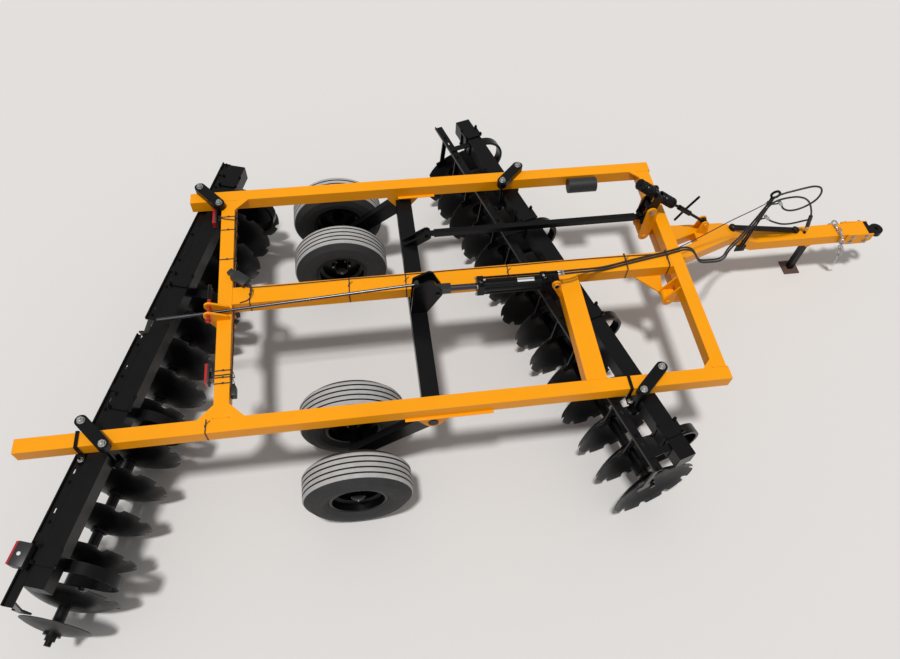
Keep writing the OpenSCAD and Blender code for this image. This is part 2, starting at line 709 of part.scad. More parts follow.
// Levelling linkage: a tube from the rockshaft lug to the lower end of the crank, which
// stands in two ears behind the front cross tube and pushes the spring rod of the tongue
crank_pin = [frame_length - tube - crank_back, frame_top + crank_up];
crank_low = [crank_pin[0] - 35, crank_pin[1] - 125];
crank_top = [crank_pin[0] + 24, crank_pin[1] + 129];
crank_t = 14;
crank_in = 48;
ear_in = crank_in + crank_t + 6;
ear_t = 16;
module crank_ears() {
    color(yellow) at_origin() for (side = [-1, 1]) difference() {
        translate([0, level_y + side * (ear_in + ear_t / 2) + ear_t / 2, 0]) rotate([90, 0, 0])
            linear_extrude(ear_t) hull() {
                translate(crank_pin) circle(r = 42);
                translate([hinge_x, hinge_z]) circle(r = 42);
                translate([frame_length - tube - 6 - seat_gap, frame_bottom - 20]) square([6, tube + 20]);
            }
        pin_y(crank_pin[0], level_y, crank_pin[1], pin_d / 2, 400);
        pin_y(hinge_x, level_y, hinge_z, hinge_r, 400);
    }
    color(steel) at_origin() {
        pin_y(crank_pin[0], level_y, crank_pin[1], pin_d / 2, 2 * (ear_in + ear_t) + 16);
        pin_y(hinge_x, level_y, hinge_z, hinge_r, 2 * (ear_in + ear_t) + 16);
    }
}

module levelling_tube() {
    a = level_lug;
    b = crank_low;
    half = level_fork - 6;
    eye_r = 28;
    neck = pin_d / 2 + 3;
    d = (b - a) / norm(b - a);
    color(black) at_origin() {
        for (q = [a, b]) translate([q[0], level_y, q[1]]) eye_y(eye_r, half, pin_d);
        bar_xz(a + d * neck, b - d * neck, level_y, 2 * half - 2, level_tube - 10);
        bar_xz(a + d * 60, b - d * 60, level_y, level_tube, level_tube);
    }
}

module bell_crank() {
    color(black) {
        at_origin() difference() {
            union() {
                for (side = [-1, 1])
                    translate([0, level_y + side * (crank_in + crank_t / 2) + crank_t / 2, 0])
                        rotate([90, 0, 0]) linear_extrude(crank_t) hull() {
                            translate(crank_pin) circle(r = 38);
                            translate(crank_low) circle(r = 28);
                            translate(crank_top) circle(r = 36);
                        }
                pin_y(crank_pin[0], level_y, crank_pin[1], 30, 2 * crank_in);
                for (side = [-1, 1])
                    pin_y(crank_low[0], level_y + side * (crank_in + 27) / 2, crank_low[1], 24, crank_in - 26);
            }
            pin_y(crank_pin[0], level_y, crank_pin[1], pin_d / 2 + fit, 400);
        }
        along_spring() for (side = [-1, 1])
            pin_y(0, side * (trunnion_in + crank_in + 4) / 2, 0, 30, crank_in + 4 - trunnion_in);
    }
}

// Local frame of the spring rod: origin at the crank's upper pin, X down towards the tongue
trunnion_in = 17;
module along_spring() {
    at_origin() translate([crank_top[0], level_y, crank_top[1]]) rotate([0, spring_slope, 0]) children();
}

// Coil spring wound close on itself, between x0 and x1
spring_wire = 15;
module close_spring(x0, x1) {
    n = round((x1 - x0) / (spring_wire * 0.94));
    step = (x1 - x0) / n;
    mean_r = (spring_d - spring_wire) / 2;
    translate([x0, 0, 0]) rotate([0, 90, 0]) rotate_extrude()
        for (i = [0:n - 1]) translate([mean_r, (i + 0.5) * step]) circle(d = spring_wire, $fn = 16);
}

spring_rod_r = 12;
spring_len = 655;
rear_reach = 215;
module levelling_springs() {
    gap = 42;
    long = 150;
    color(black) along_spring() {
        rotate([0, 90, 0]) translate([0, 0, -rear_reach]) cylinder(r = spring_rod_r, h = rear_reach + spring_len - 30);
        for (side = [-1, 1]) {
            close_spring(side > 0 ? gap : -gap - long, side > 0 ? gap + long : -gap);
            translate([side * (gap + long + 9) - 9, 0, 0]) rotate([0, 90, 0]) cylinder(r = 45, h = 18);
        }
        translate([gap + long + 110, 0, 0]) rotate([0, 90, 0]) cylinder(r = 22, h = 150);
        translate([gap + long + 110 + 75, 0, 0]) rod([0, 0, 0], [-25, 0, 170], 10);
        translate([gap + long + 110 + 75, 0, 0]) rod([0, 0, 0], [25, 0, -120], 10);
        translate([-34, 2 - trunnion_in, -24]) cube([68, 2 * trunnion_in - 4, 48]);
        translate([spring_len, 0, 0]) eye_y(28, 20, pin_d);
    }
}

// Tongue: a tube to the hitch on two legs and a cross bar, hinged behind the front cross tube
hinge_r = 18;
eye_half = 40;
tongue_back = 3492;
leg_start = 3572;
spring_pin = crank_top + spring_len * [cos(spring_slope), -sin(spring_slope)];
// Outline from above, with the slot between the two legs
module tongue_plan() {
    near = tongue_y - tongue_w / 2;
    far = tongue_y + tongue_w / 2;
    end = hitch_x - 120;
    difference() {
        polygon([[tongue_back, hinge_right - 40], [leg_start, hinge_right - 40], [leg_start, 1163],
            [4335, near], [end, near], [end, far], [4240, far], [leg_start, 1558], [leg_start, level_y + 40],
            [tongue_back, level_y + 40]]);
        polygon([[leg_start, 1282], [3900, 1455], [3900, 1545], [leg_start, 1370]]);
    }
}

// Outline from the side
module tongue_side() {
    top = hitch_z + tongue_h / 2;
    low = hitch_z - tongue_h / 2;
    polygon([[tongue_back, hinge_z + 45], [leg_start, hinge_z + 47], [4300, 645], [4580, top],
        [hitch_x - 120, top], [hitch_x - 120, low], [4560, low], [4290, 545], [leg_start, hinge_z - 40],
        [tongue_back, hinge_z - 40]]);
}

module tongue() {
    color(yellow) at_origin() {
        difference() {
            union() {
                intersection() {
                    translate([0, 0, hitch_z - tongue_h]) linear_extrude(600) tongue_plan();
                    translate([0, frame_width, 0]) rotate([90, 0, 0]) linear_extrude(frame_width) tongue_side();
                }
                for (y = [hinge_right, level_y]) {
                    pin_y(hinge_x, y, hinge_z, 36, 2 * eye_half);
                    translate([hinge_x, y - eye_half, hinge_z - 34]) cube([tongue_back + 10 - hinge_x, 2 * eye_half, 68]);
                }
            }
            for (y = [hinge_right, level_y]) pin_y(hinge_x, y, hinge_z, hinge_r + fit, 3 * eye_half);
        }
        for (side = [-1, 1]) translate([0, level_y + side * 33 + 6, 0]) rotate([90, 0, 0])
            linear_extrude(12) polygon([[spring_pin[0] - 30, spring_pin[1] + 24], [spring_pin[0] - 12, spring_pin[1] + 34],
                [spring_pin[0] + 12, spring_pin[1] + 34], [spring_pin[0] + 32, spring_pin[1] + 14],
                [spring_pin[0] + 70, spring_pin[1] - 190], [spring_pin[0] - 70, spring_pin[1] - 190]]);
        pin_y(spring_pin[0], level_y, spring_pin[1], pin_d / 2, 100);
        for (side = [-1, 1]) translate([0, tongue_y + side * (tongue_w / 2 + 6) + 6, 0]) rotate([90, 0, 0])
            linear_extrude(12) polygon([[hitch_x - 330, hitch_z - 70], [hitch_x - 120, hitch_z - 70],
                [hitch_x - 70, hitch_z - 30], [hitch_x - 70, hitch_z + 45], [hitch_x - 330, hitch_z + 60]]);
        for (side = [-1, 1]) translate([0, tongue_y + side * 38 + 6, 0]) rotate([90, 0, 0])
            linear_extrude(12) hull() {
                translate([stand_x, hitch_z - tongue_h / 2 - 34]) circle(r = 26);
                translate([stand_x - 60, hitch_z - tongue_h / 2 - 6]) square([120, 6]);
            }
        pin_y(stand_x, tongue_y, hitch_z - tongue_h / 2 - 34, 12, 100);
    }
}

// Right tongue hinge: two plates behind the front cross tube, braced to the middle tube
module tongue_brackets() {
    plate = 14;
    color(yellow) at_origin() {
        for (side = [-1, 1])
            translate([0, hinge_right + side * (eye_half + 1 + plate / 2) + plate / 2, 0]) rotate([90, 0, 0])
                linear_extrude(plate) hull() {
                    translate([hinge_x, hinge_z]) circle(r = 42);
                    translate([frame_length - tube - 6 - seat_gap, frame_bottom - 20]) square([6, tube]);
                }
        hull() {
            translate([3190, middle_y - wide_tube / 2, frame_bottom - 12]) cube([10, 60, 12 - seat_gap]);
            translate([3390, middle_y - wide_tube / 2, frame_bottom - 12]) cube([10, 60, 12 - seat_gap]);
            translate([hinge_x - 40, hinge_right + eye_half + 2, hinge_z - 6]) cube([30, 10, 12]);
        }
        pin_y(hinge_x, hinge_right, hinge_z, hinge_r, 2 * (eye_half + plate) + 20);
    }
}

module hitch_eye() {
    head = 46;
    color(black) at_origin() difference() {
        union() {
            translate([hitch_x, tongue_y, hitch_z - head / 2]) cylinder(r = 60, h = head);
            translate([hitch_x - 120, tongue_y - 45, hitch_z - head / 2]) cube([120, 90, head]);
            translate([hitch_x - 120, tongue_y - tongue_w / 2, hitch_z - 50]) cube([40, tongue_w, 100]);
        }
        translate([hitch_x, tongue_y, hitch_z - 50]) cylinder(d = hitch_bore, h = 100);
    }
}

// Parking stand that hangs from a pin under the tongue and folds forwards
module parking_stand() {
    top = hitch_z - tongue_h / 2 - 34;
    color(black) at_origin() {
        difference() {
            union() {
                translate([stand_x - 25, tongue_y - 25, 10]) cube([50, 50, top - 20]);
                pin_y(stand_x, tongue_y, top, 22, 50);
                translate([stand_x - 22, tongue_y - 25, top - 30]) cube([44, 50, 30]);
            }
            pin_y(stand_x, tongue_y, top, 12 + fit, 100);
        }
        translate([stand_x - 75, tongue_y - 75, 0]) cube([150, 150, 10]);
    }
}

// Lamps on brackets behind the rear cross tube, and the lamp box on the rear scraper bar's end
module lamps() {
    color(red) at_origin() for (y = [400, 1860]) {
        translate([-75, y, frame_top - 82]) cube([32, 150, 60]);
        translate([-45, y + 50, frame_top - 60]) cube([45 - seat_gap, 50, 8]);
    }
    color(red) at_rear_gang() translate([-196, 1560, scraper_top + 14 + seat_gap]) cube([100, 140, 70]);
}

module canister() {
    color(black) at_origin() translate([2860, left_y - 62.3, frame_top - 50]) rotate([0, 90, 0])
        cylinder(r = 62, h = 240);
}

// Depth stop: two ears round the rear cross tube with a cross pin, under which the rod runs
stop_z = frame_top + 40;
module rear_clevis() {
    color(yellow) at_origin() for (side = [-1, 1])
        translate([0, cyl_y + side * 42 + 8, 0]) rotate([90, 0, 0]) linear_extrude(16) difference() {
            hull() {
                translate([-45, stop_z + 20]) circle(r = 38);
                translate([-12, frame_bottom - 10]) square([tube + 24, 10]);
                translate([60, frame_top + 20]) circle(r = 30);
            }
            translate([0, frame_bottom]) square(tube);
            translate([-45, stop_z + 28]) circle(r = 12 + fit);
        }
    color(red) at_origin() pin_y(-45, cyl_y + 60, stop_z + 28, 12, 330);
}

module depth_rod() {
    rod_r = 11;
    color(steel) at_origin() {
        rod([-190, cyl_y, stop_z - 17], [depth_pin[0] - 24, cyl_y, depth_pin[1]], rod_r);
        translate([depth_pin[0], cyl_y, depth_pin[1]]) eye_y(26, 20, 24);
    }
    color(black) at_origin() rod([-420, cyl_y, stop_z - 36], [-185, cyl_y, stop_z - 17], 14);
}

// Holder post with a ring for the hoses, their couplers, a dust cap on the tongue and the bar
// with ring ends that lies on the tongue
post_y = 1575;
module tongue_fittings() {
    tongue_top = hitch_z + tongue_h / 2;
    near = tongue_y - tongue_w / 2;
    color(black) at_origin() {
        for (x = [-12, 12]) rod([4440 + x, post_y, hitch_z - 20], [4482 + x, post_y, 1122], 8);
        translate([4400, near - seat_gap - 12, hitch_z - 36]) cube([90, 12, 70]);
        translate([4490, post_y + 7, 1150]) rotate([90, 0, 0]) linear_extrude(14) difference() {
            circle(r = 44);
            circle(r = 28);
        }
        for (c = couplers) rod(c[0], c[1], 13);
        rod([4470, post_y, 1030], [4566, 1558, 1056], 6);
        rod([4455, post_y, 842], [4528, 1574, 868], 6);
        rod([5023, 1650, 750], [5066, 1650, 561], 16);
        translate([5066, 1650, tongue_top + seat_gap]) cylinder(r = 12, h = 50);
        translate([4311, 1680, 641]) rotate([0, 9.55, 0]) difference() {
            union() {
                for (x = [34, 684]) translate([x, 0, 0]) cylinder(r = 34, h = 22);
                translate([59, -24, 0]) cube([600, 48, 18]);
            }
            for (x = [34, 684]) translate([x, 0, -1]) cylinder(r = 15, h = 24);
        }
    }
}

// Hoses as tubes through their route's points, the end faces square to the given directions
module hose(points, first, last) {
    n = len(points);
    sides = 8;
    dirs = [for (i = [0:n - 1]) i == 0 ? first : i == n - 1 ? last : points[i + 1] - points[i - 1]];
    ring = [for (i = [0:n - 1]) let (a = unit(cross(dirs[i], [0, 1, 0])), b = unit(cross(a, dirs[i])))
        for (k = [0:sides - 1]) points[i] + hose_d / 2 * (cos(360 * k / sides) * a + sin(360 * k / sides) * b)];
    side_faces = [for (i = [0:n - 2], k = [0:sides - 1]) let (m = (k + 1) % sides, j = i * sides)
        each [[j + k, j + m, j + sides + m], [j + k, j + sides + m, j + sides + k]]];
    polyhedron(ring, concat([[for (k = [sides - 1:-1:0]) k]], side_faces,
        [[for (k = [0:sides - 1]) (n - 1) * sides + k]]));
}

function unit(v) = v / norm(v);
function shifted(points, y) = [for (q = points) q + [0, y, 0]];

module hoses_frame() {
    color(rubber) at_origin() for (y = port_ys) hose(shifted(frame_route, y), [1, 0, 0], [1, 0, 0]);
}

module hoses_tongue() {
    color(rubber) at_origin() {
        hose(concat(shifted(tongue_route, port_ys[0]), dust_cap_loop), [1, 0, 0], [43, 0, -189]);
        hose(concat(shifted(tongue_route, port_ys[1]), ring_loop), [1, 0, 0], [-50, 0, 60]);
        hose(cap_route, [-1, 0, 0], [-1, 0, 1]);
    }
}

rail_right();
rail_left();
tube_rear_cross();
tube_front_cross();
tube_middle();
tube_inner_cross();
gussets();
beam_front();
beam_rear();
gang_straps();
hangers_front();
hangers_rear();
scrapers_front();
scrapers_rear();
rock_brackets();
tongue_brackets();
crank_ears();
cylinder_bracket();
rear_clevis();
blades_front();
spools_front();
blades_rear();
spools_rear();
rockshaft();
arm_right();
arm_left();
rims_right();
rims_left();
tyre_right_outer();
tyre_right_inner();
tyre_left_inner();
tyre_left_outer();
cylinder_barrel();
cylinder_rod();
levelling_tube();
bell_crank();
levelling_springs();
tongue();
hitch_eye();
parking_stand();
lamps();
canister();
depth_rod();
tongue_fittings();
hoses_frame();
hoses_tongue();
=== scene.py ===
"""Looks of the trailed offset disc harrow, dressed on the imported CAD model.

Metres. The row frame has +X to the hitch, +Y to the machine's left, +Z up and the ground at z = 0.
"""
import json
import math
import random
from collections import namedtuple

import bmesh
import bpy
from mathutils import Matrix, Vector


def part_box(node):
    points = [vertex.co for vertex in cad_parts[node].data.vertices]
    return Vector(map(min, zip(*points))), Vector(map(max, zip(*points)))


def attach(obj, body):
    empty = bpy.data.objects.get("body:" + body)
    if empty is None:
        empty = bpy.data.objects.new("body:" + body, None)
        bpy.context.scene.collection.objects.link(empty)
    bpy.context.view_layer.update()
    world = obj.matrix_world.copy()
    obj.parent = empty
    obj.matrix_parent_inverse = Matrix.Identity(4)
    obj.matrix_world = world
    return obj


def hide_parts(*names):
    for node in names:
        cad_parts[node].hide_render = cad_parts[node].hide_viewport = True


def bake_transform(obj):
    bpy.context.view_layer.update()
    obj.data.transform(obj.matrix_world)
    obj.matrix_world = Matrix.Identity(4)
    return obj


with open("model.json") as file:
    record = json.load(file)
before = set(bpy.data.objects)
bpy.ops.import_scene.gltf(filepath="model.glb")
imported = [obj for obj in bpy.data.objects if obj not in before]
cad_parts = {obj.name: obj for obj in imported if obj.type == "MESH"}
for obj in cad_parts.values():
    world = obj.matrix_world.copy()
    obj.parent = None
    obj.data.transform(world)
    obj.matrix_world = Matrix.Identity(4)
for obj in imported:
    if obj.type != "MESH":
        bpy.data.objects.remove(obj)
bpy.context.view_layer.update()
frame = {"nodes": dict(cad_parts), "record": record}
RNG = random.Random(7)

# Layout origin (rear cross tube's rear face, right rail's outer face) in the row frame
PLAN = Vector((-2.2456, -0.9838, 0.0))

# Frame, as in the solids, in layout metres: heights, tube sizes and where its inner tubes run
FRAME_TOP, TUBE, WIDE_TUBE, BEAM = 1.030, 0.102, 0.152, 0.127
FRAME_LENGTH, FRAME_WIDTH = 3.577, 2.168
FRAME_LOW = FRAME_TOP - TUBE
LEFT_RAIL = FRAME_WIDTH - TUBE
MIDDLE_Y, INNER_X, ROCKSHAFT_X = 1.101, 2.624, 1.462
MIDDLE_TUBE = (MIDDLE_Y - WIDE_TUBE / 2, MIDDLE_Y + WIDE_TUBE / 2)
INNER_TUBE = (INNER_X - WIDE_TUBE / 2, INNER_X + WIDE_TUBE / 2)

# Gangs: the beam's centre, turn in degrees and side, the blades' shift along it, the scraper bar
Gang = namedtuple("Gang", "x y turn side shift bar_x")
GANGS = {"front": Gang(2.612, 1.226, 16.6, 1, 0.065, -0.262),
         "rear": Gang(-0.461, 0.861, -18.1, -1, 0.050, -0.146)}
BLADES, PITCH, BLADE_R, DISH = 14, 0.2667, 0.33, 0.092
STRAP_BOLTS = [(-0.824, 0.160), (-0.671, -0.022), (3.088, 0.122), (2.910, -0.042),
               (2.448, 2.184), (2.288, 2.020), (-0.168, 2.190), (-0.011, 1.999)]
LIGHT_CLAMP_BOLTS = [(-0.855, -0.044), (2.849, -0.044)]

# Cable ties: width and thickness of their strap
TIE = (0.008, 0.0022)

# Wheels, and the tyres' tread: half its width, the pale band's depth and the grooves
WHEEL_X, WHEEL_Z, WHEEL_OFFSET = 0.890, 0.395, 0.280
ARM_YS = {"right": 0.051, "left": 2.117}
TREAD_HALF, TREAD_DEPTH = 0.098, 0.024
GROOVE_PITCH, GROOVE_HALF = 0.040, 0.0062

# Lift cylinder's base pin, depth stop's pin, levelling crank and its springs
CYLINDER_BASE = (2.498, 0.940, 1.100)
STOP_PIN = (-0.045, 0.8352, 1.098)
CRANK_PIN, CRANK_TOP = (3.420, 1.590, 1.120), (3.444, 1.590, 1.249)
SPRING_D, SPRING_SLOPE = 0.084, 36.2

# Tongue, its stand, and the bar with ring ends that lies on it
TONGUE_Y, TONGUE_HALF, STAND_X = 1.655, 0.070, 5.150
BAR_AT, BAR_TILT, BAR_RINGS = (4.311, 1.680, 0.641), 9.55, (0.034, 0.684)

X_AXIS, Y_AXIS, Z_AXIS = Vector((1, 0, 0)), Vector((0, 1, 0)), Vector((0, 0, 1))


def at(x, y, z):
    """Layout point in metres as a row-frame vector."""
    return Vector((x, y, z)) + PLAN


# Camera, solved from the photograph: place in the layout, turns in radians, lens on a 36 mm sensor
CAMERA_AT = (1.078, -2.279, 5.470)
CAMERA_YAW, CAMERA_PITCH, CAMERA_ROLL = 0.1967, -0.9818, 0.0711
CAMERA_LENS = 29.48


def add_camera():
    """Camera at the photograph's viewing angle."""
    forward = Vector((math.sin(CAMERA_YAW) * math.cos(CAMERA_PITCH),
                      math.cos(CAMERA_YAW) * math.cos(CAMERA_PITCH), math.sin(CAMERA_PITCH)))
    level = Vector((math.cos(CAMERA_YAW), -math.sin(CAMERA_YAW), 0.0))
    high = level.cross(forward)
    c, s = math.cos(CAMERA_ROLL), math.sin(CAMERA_ROLL)
    right, up = c * level + s * high, c * high - s * level
    data = bpy.data.cameras.new("camera")
    data.sensor_width = 36.0
    data.sensor_fit = "HORIZONTAL"
    data.lens = CAMERA_LENS
    data.clip_end = 200.0
    cam = bpy.data.objects.new("camera", data)
    bpy.context.scene.collection.objects.link(cam)
    turn = Matrix((right, up, -forward)).transposed().to_4x4()
    cam.matrix_world = Matrix.Translation(at(*CAMERA_AT)) @ turn
    bpy.context.scene.camera = cam


def nodes_of(name):
    """New node material with its tree's nodes, links and the shader."""
    mat = bpy.data.materials.new(name)
    mat.use_nodes = True
    tree = mat.node_tree
    return mat, tree.nodes, tree.links, tree.nodes["Principled BSDF"]


def add(nodes, kind, **inputs):
    """New shader node with some inputs set by name."""
    n = nodes.new(kind)
    for key, value in inputs.items():
        n.inputs[key.replace("_", " ")].default_value = value
    return n


def noise(nodes, links, coord, scale, detail=4.0, roughness=0.55):
    """Noise texture on a coordinate socket."""
    n = add(nodes, "ShaderNodeTexNoise", Scale=scale, Detail=detail, Roughness=roughness)
    links.new(coord, n.inputs["Vector"])
    return n


def ramp(nodes, links, source, stops):
    """Colour ramp from (position, colour) stops."""
    n = nodes.new("ShaderNodeValToRGB")
    while len(n.color_ramp.elements) < len(stops):
        n.color_ramp.elements.new(0.5)
    for element, (position, colour) in zip(n.color_ramp.elements, stops):
        element.position = position
        element.color = (*colour, 1.0)
    links.new(source, n.inputs["Fac"])
    return n


def mix(nodes, links, factor, a, b):
    """Colour mix; a and b are sockets or colours, factor is a socket or a number."""
    n = nodes.new("ShaderNodeMix")
    n.data_type = "RGBA"
    for socket, value in ((n.inputs["Factor"], factor), (n.inputs["A"], a), (n.inputs["B"], b)):
        if isinstance(value, bpy.types.NodeSocket):
            links.new(value, socket)
        elif isinstance(value, tuple):
            socket.default_value = (*value, 1.0)
        else:
            socket.default_value = value
    return n.outputs["Result"]


def calc(nodes, links, operation, a, b=None, c=None, clamp=False):
    """Math node on sockets or numbers."""
    n = nodes.new("ShaderNodeMath")
    n.operation = operation
    n.use_clamp = clamp
    for socket, value in zip(n.inputs, (a, b, c)):
        if value is None:
            continue
        if isinstance(value, bpy.types.NodeSocket):
            links.new(value, socket)
        else:
            socket.default_value = value
    return n.outputs["Value"]


def grain(nodes, links, shader, coord, scale, detail, strength, distance=0.002):
    """Fine noise as a bump on the shader."""
    fine = noise(nodes, links, coord, scale, detail)
    bump = add(nodes, "ShaderNodeBump", Strength=strength, Distance=distance)
    links.new(fine.outputs["Fac"], bump.inputs["Height"])
    links.new(bump.outputs["Normal"], shader.inputs["Normal"])


def facing_up(nodes, links):
    """0 on walls and undersides, 1 on upward faces."""
    geometry = nodes.new("ShaderNodeNewGeometry")
    split = nodes.new("ShaderNodeSeparateXYZ")
    links.new(geometry.outputs["Normal"], split.inputs["Vector"])
    return calc(nodes, links, "SUBTRACT", split.outputs["Z"], 0.35, clamp=True)


def worn_edge(nodes, links, amount):
    """Brightness near sharp edges, from the mesh's pointiness."""
    geometry = nodes.new("ShaderNodeNewGeometry")
    n = calc(nodes, links, "SUBTRACT", geometry.outputs["Pointiness"], 0.5)
    return calc(nodes, links, "MULTIPLY", n, amount, clamp=True)


def paint(name, colour, dust, roughness, coat, dust_amount):
    """Sprayed paint: faint orange peel, slow colour drift, dust that lies on upward faces."""
    mat, nodes, links, shader = nodes_of(name)
    coord = nodes.new("ShaderNodeTexCoord").outputs["Object"]
    drift = noise(nodes, links, coord, 1.7, 3.0)
    shade = tuple(c * 0.86 for c in colour)
    body = mix(nodes, links, drift.outputs["Fac"], colour, shade)
    settled = noise(nodes, links, coord, 9.0, 6.0, 0.7)
    patch = ramp(nodes, links, settled.outputs["Fac"], [(0.38, (0, 0, 0)), (0.72, (1, 1, 1))])
    amount = calc(nodes, links, "MULTIPLY", patch.outputs["Color"], facing_up(nodes, links))
    amount = calc(nodes, links, "MULTIPLY", amount, dust_amount, clamp=True)
    links.new(mix(nodes, links, amount, body, dust), shader.inputs["Base Color"])
    links.new(calc(nodes, links, "MULTIPLY_ADD", amount, 0.5, roughness), shader.inputs["Roughness"])
    shader.inputs["Specular IOR Level"].default_value = 0.2
    shader.inputs["Coat Weight"].default_value = coat
    shader.inputs["Coat Roughness"].default_value = 0.12
    grain(nodes, links, shader, coord, 160.0, 2.0, 0.06)
    return mat


def blade_steel():
    """Blades: dark paint over rolled steel, scuffed at the rim and lightly dusty."""
    mat, nodes, links, shader = nodes_of("blade_steel")
    coord = nodes.new("ShaderNodeTexCoord").outputs["Object"]
    drift = noise(nodes, links, coord, 6.0, 6.0, 0.65)
    body = mix(nodes, links, drift.outputs["Fac"], (0.003, 0.003, 0.004), (0.009, 0.009, 0.010))
    edge = worn_edge(nodes, links, 3.0)
    links.new(mix(nodes, links, edge, body, (0.10, 0.10, 0.10)), shader.inputs["Base Color"])
    shader.inputs["Metallic"].default_value = 0.35
    rough = ramp(nodes, links, drift.outputs["Fac"], [(0.3, (0.30,) * 3), (0.7, (0.50,) * 3)])
    links.new(rough.outputs["Color"], shader.inputs["Roughness"])
    shader.inputs["Specular IOR Level"].default_value = 0.35
    grain(nodes, links, shader, coord, 60.0, 4.0, 0.15)
    return mat


def bright_metal(name, colour, roughness):
    """Bare or zinc-plated metal with fine scratches."""
    mat, nodes, links, shader = nodes_of(name)
    coord = nodes.new("ShaderNodeTexCoord").outputs["Object"]
    fine = noise(nodes, links, coord, 90.0, 5.0, 0.7)
    links.new(mix(nodes, links, fine.outputs["Fac"], colour, tuple(c * 0.7 for c in colour)),
              shader.inputs["Base Color"])
    shader.inputs["Metallic"].default_value = 1.0
    rough = calc(nodes, links, "MULTIPLY_ADD", fine.outputs["Fac"], 0.2, roughness)
    links.new(rough, shader.inputs["Roughness"])
    return mat


def plain_plastic(name, colour, roughness):
    """Moulded plastic or rubber with a fine grain."""
    mat, nodes, links, shader = nodes_of(name)
    coord = nodes.new("ShaderNodeTexCoord").outputs["Object"]
    drift = noise(nodes, links, coord, 8.0, 3.0)
    links.new(mix(nodes, links, drift.outputs["Fac"], colour, tuple(c * 0.75 for c in colour)),
              shader.inputs["Base Color"])
    shader.inputs["Roughness"].default_value = roughness
    grain(nodes, links, shader, coord, 220.0, 3.0, 0.15, 0.001)
    return mat


def tyre_rubber(name, centre, tread_r):
    """Rubber: dark sidewalls and grooves, and ribs that dry dust has turned pale outside tread_r."""
    mat, nodes, links, shader = nodes_of(name)

    def math_node(operation, *values):
        return calc(nodes, links, operation, *values)

    coord = nodes.new("ShaderNodeTexCoord").outputs["Object"]
    split = nodes.new("ShaderNodeSeparateXYZ")
    links.new(coord, split.inputs["Vector"])
    dx, dy, dz = (math_node("SUBTRACT", split.outputs[k], c) for k, c in zip("XYZ", centre))
    square = math_node("ADD", math_node("MULTIPLY", dx, dx), math_node("MULTIPLY", dz, dz))
    dust = noise(nodes, links, coord, 14.0, 6.0, 0.7).outputs["Fac"]
    ragged_r = math_node("MULTIPLY_ADD", dust, 0.03, math_node("SQRT", square))
    tread = ramp(nodes, links, math_node("SUBTRACT", ragged_r, tread_r - 0.5),
                 [(0.495, (0, 0, 0)), (0.525, (1, 1, 1))])
    ragged_y = math_node("MULTIPLY_ADD", dust, 0.012, math_node("ABSOLUTE", dy))
    on_tread = math_node("LESS_THAN", ragged_y, TREAD_HALF + 0.006)
    from_groove = math_node("PINGPONG", math_node("ADD", dy, GROOVE_PITCH / 2), GROOVE_PITCH / 2)
    on_rib = math_node("GREATER_THAN", from_groove, GROOVE_HALF)
    dusty = math_node("MULTIPLY", math_node("MULTIPLY", on_tread, on_rib), tread.outputs["Color"])
    pale = mix(nodes, links, dust, (0.50, 0.49, 0.48), (0.26, 0.255, 0.25))
    wall = mix(nodes, links, dust, (0.010, 0.010, 0.011), (0.032, 0.031, 0.031))
    links.new(mix(nodes, links, dusty, wall, pale), shader.inputs["Base Color"])
    shader.inputs["Roughness"].default_value = 0.78
    grain(nodes, links, shader, coord, 120.0, 3.0, 0.25)
    return mat


def lens_red():
    """Moulded red lens with vertical ribs."""
    mat, nodes, links, shader = nodes_of("lens_red")
    coord = nodes.new("ShaderNodeTexCoord").outputs["Object"]
    wave = add(nodes, "ShaderNodeTexWave", Scale=60.0)
    wave.bands_direction = "Y"
    links.new(coord, wave.inputs["Vector"])
    links.new(mix(nodes, links, wave.outputs["Fac"], (0.30, 0.004, 0.004), (0.50, 0.01, 0.01)),
              shader.inputs["Base Color"])
    shader.inputs["Roughness"].default_value = 0.15
    shader.inputs["Coat Weight"].default_value = 0.5
    bump = add(nodes, "ShaderNodeBump", Strength=0.3, Distance=0.002)
    links.new(wave.outputs["Fac"], bump.inputs["Height"])
    links.new(bump.outputs["Normal"], shader.inputs["Normal"])
    return mat


# Materials of the machine, and the one that each slot of the solids takes
YELLOW = paint("frame_yellow", (0.90, 0.330, 0.0), (0.62, 0.40, 0.15), 0.40, 0.06, 0.03)
BLACK = paint("gloss_black", (0.0022, 0.0023, 0.0030), (0.05, 0.045, 0.04), 0.30, 0.03, 0.05)
STEEL = blade_steel()
# Near-black colour with a faint blue tint for the chrome rods: painted shade and a painted sky reflection in
# place of the bright metal
CHROME_IN_PAINTED_SHADE = bright_metal("chrome_rod", (0.10, 0.10, 0.11), 0.16)
ZINC = bright_metal("zinc_plate", (0.62, 0.62, 0.60), 0.28)
PLASTIC = plain_plastic("black_plastic", (0.018, 0.018, 0.02), 0.45)
RUBBER = plain_plastic("hose_rubber", (0.016, 0.016, 0.017), 0.5)
LENS = lens_red()
RED = plain_plastic("pin_red", (0.42, 0.012, 0.01), 0.4)
BLANK = plain_plastic("blank_plate", (0.72, 0.72, 0.70), 0.5)
# Rust colour darkened further: rust with painted shade
RUST_IN_PAINTED_SHADE = plain_plastic("rusty_steel_painted_shade", (0.085, 0.045, 0.028), 0.75)
SLOT_MATERIALS = {"frame_paint": YELLOW, "black_paint": BLACK, "blade_steel": STEEL, "chrome_rod": CHROME_IN_PAINTED_SHADE,
                  "lamp_lens": LENS, "black_plastic": PLASTIC, "hose_rubber": RUBBER}


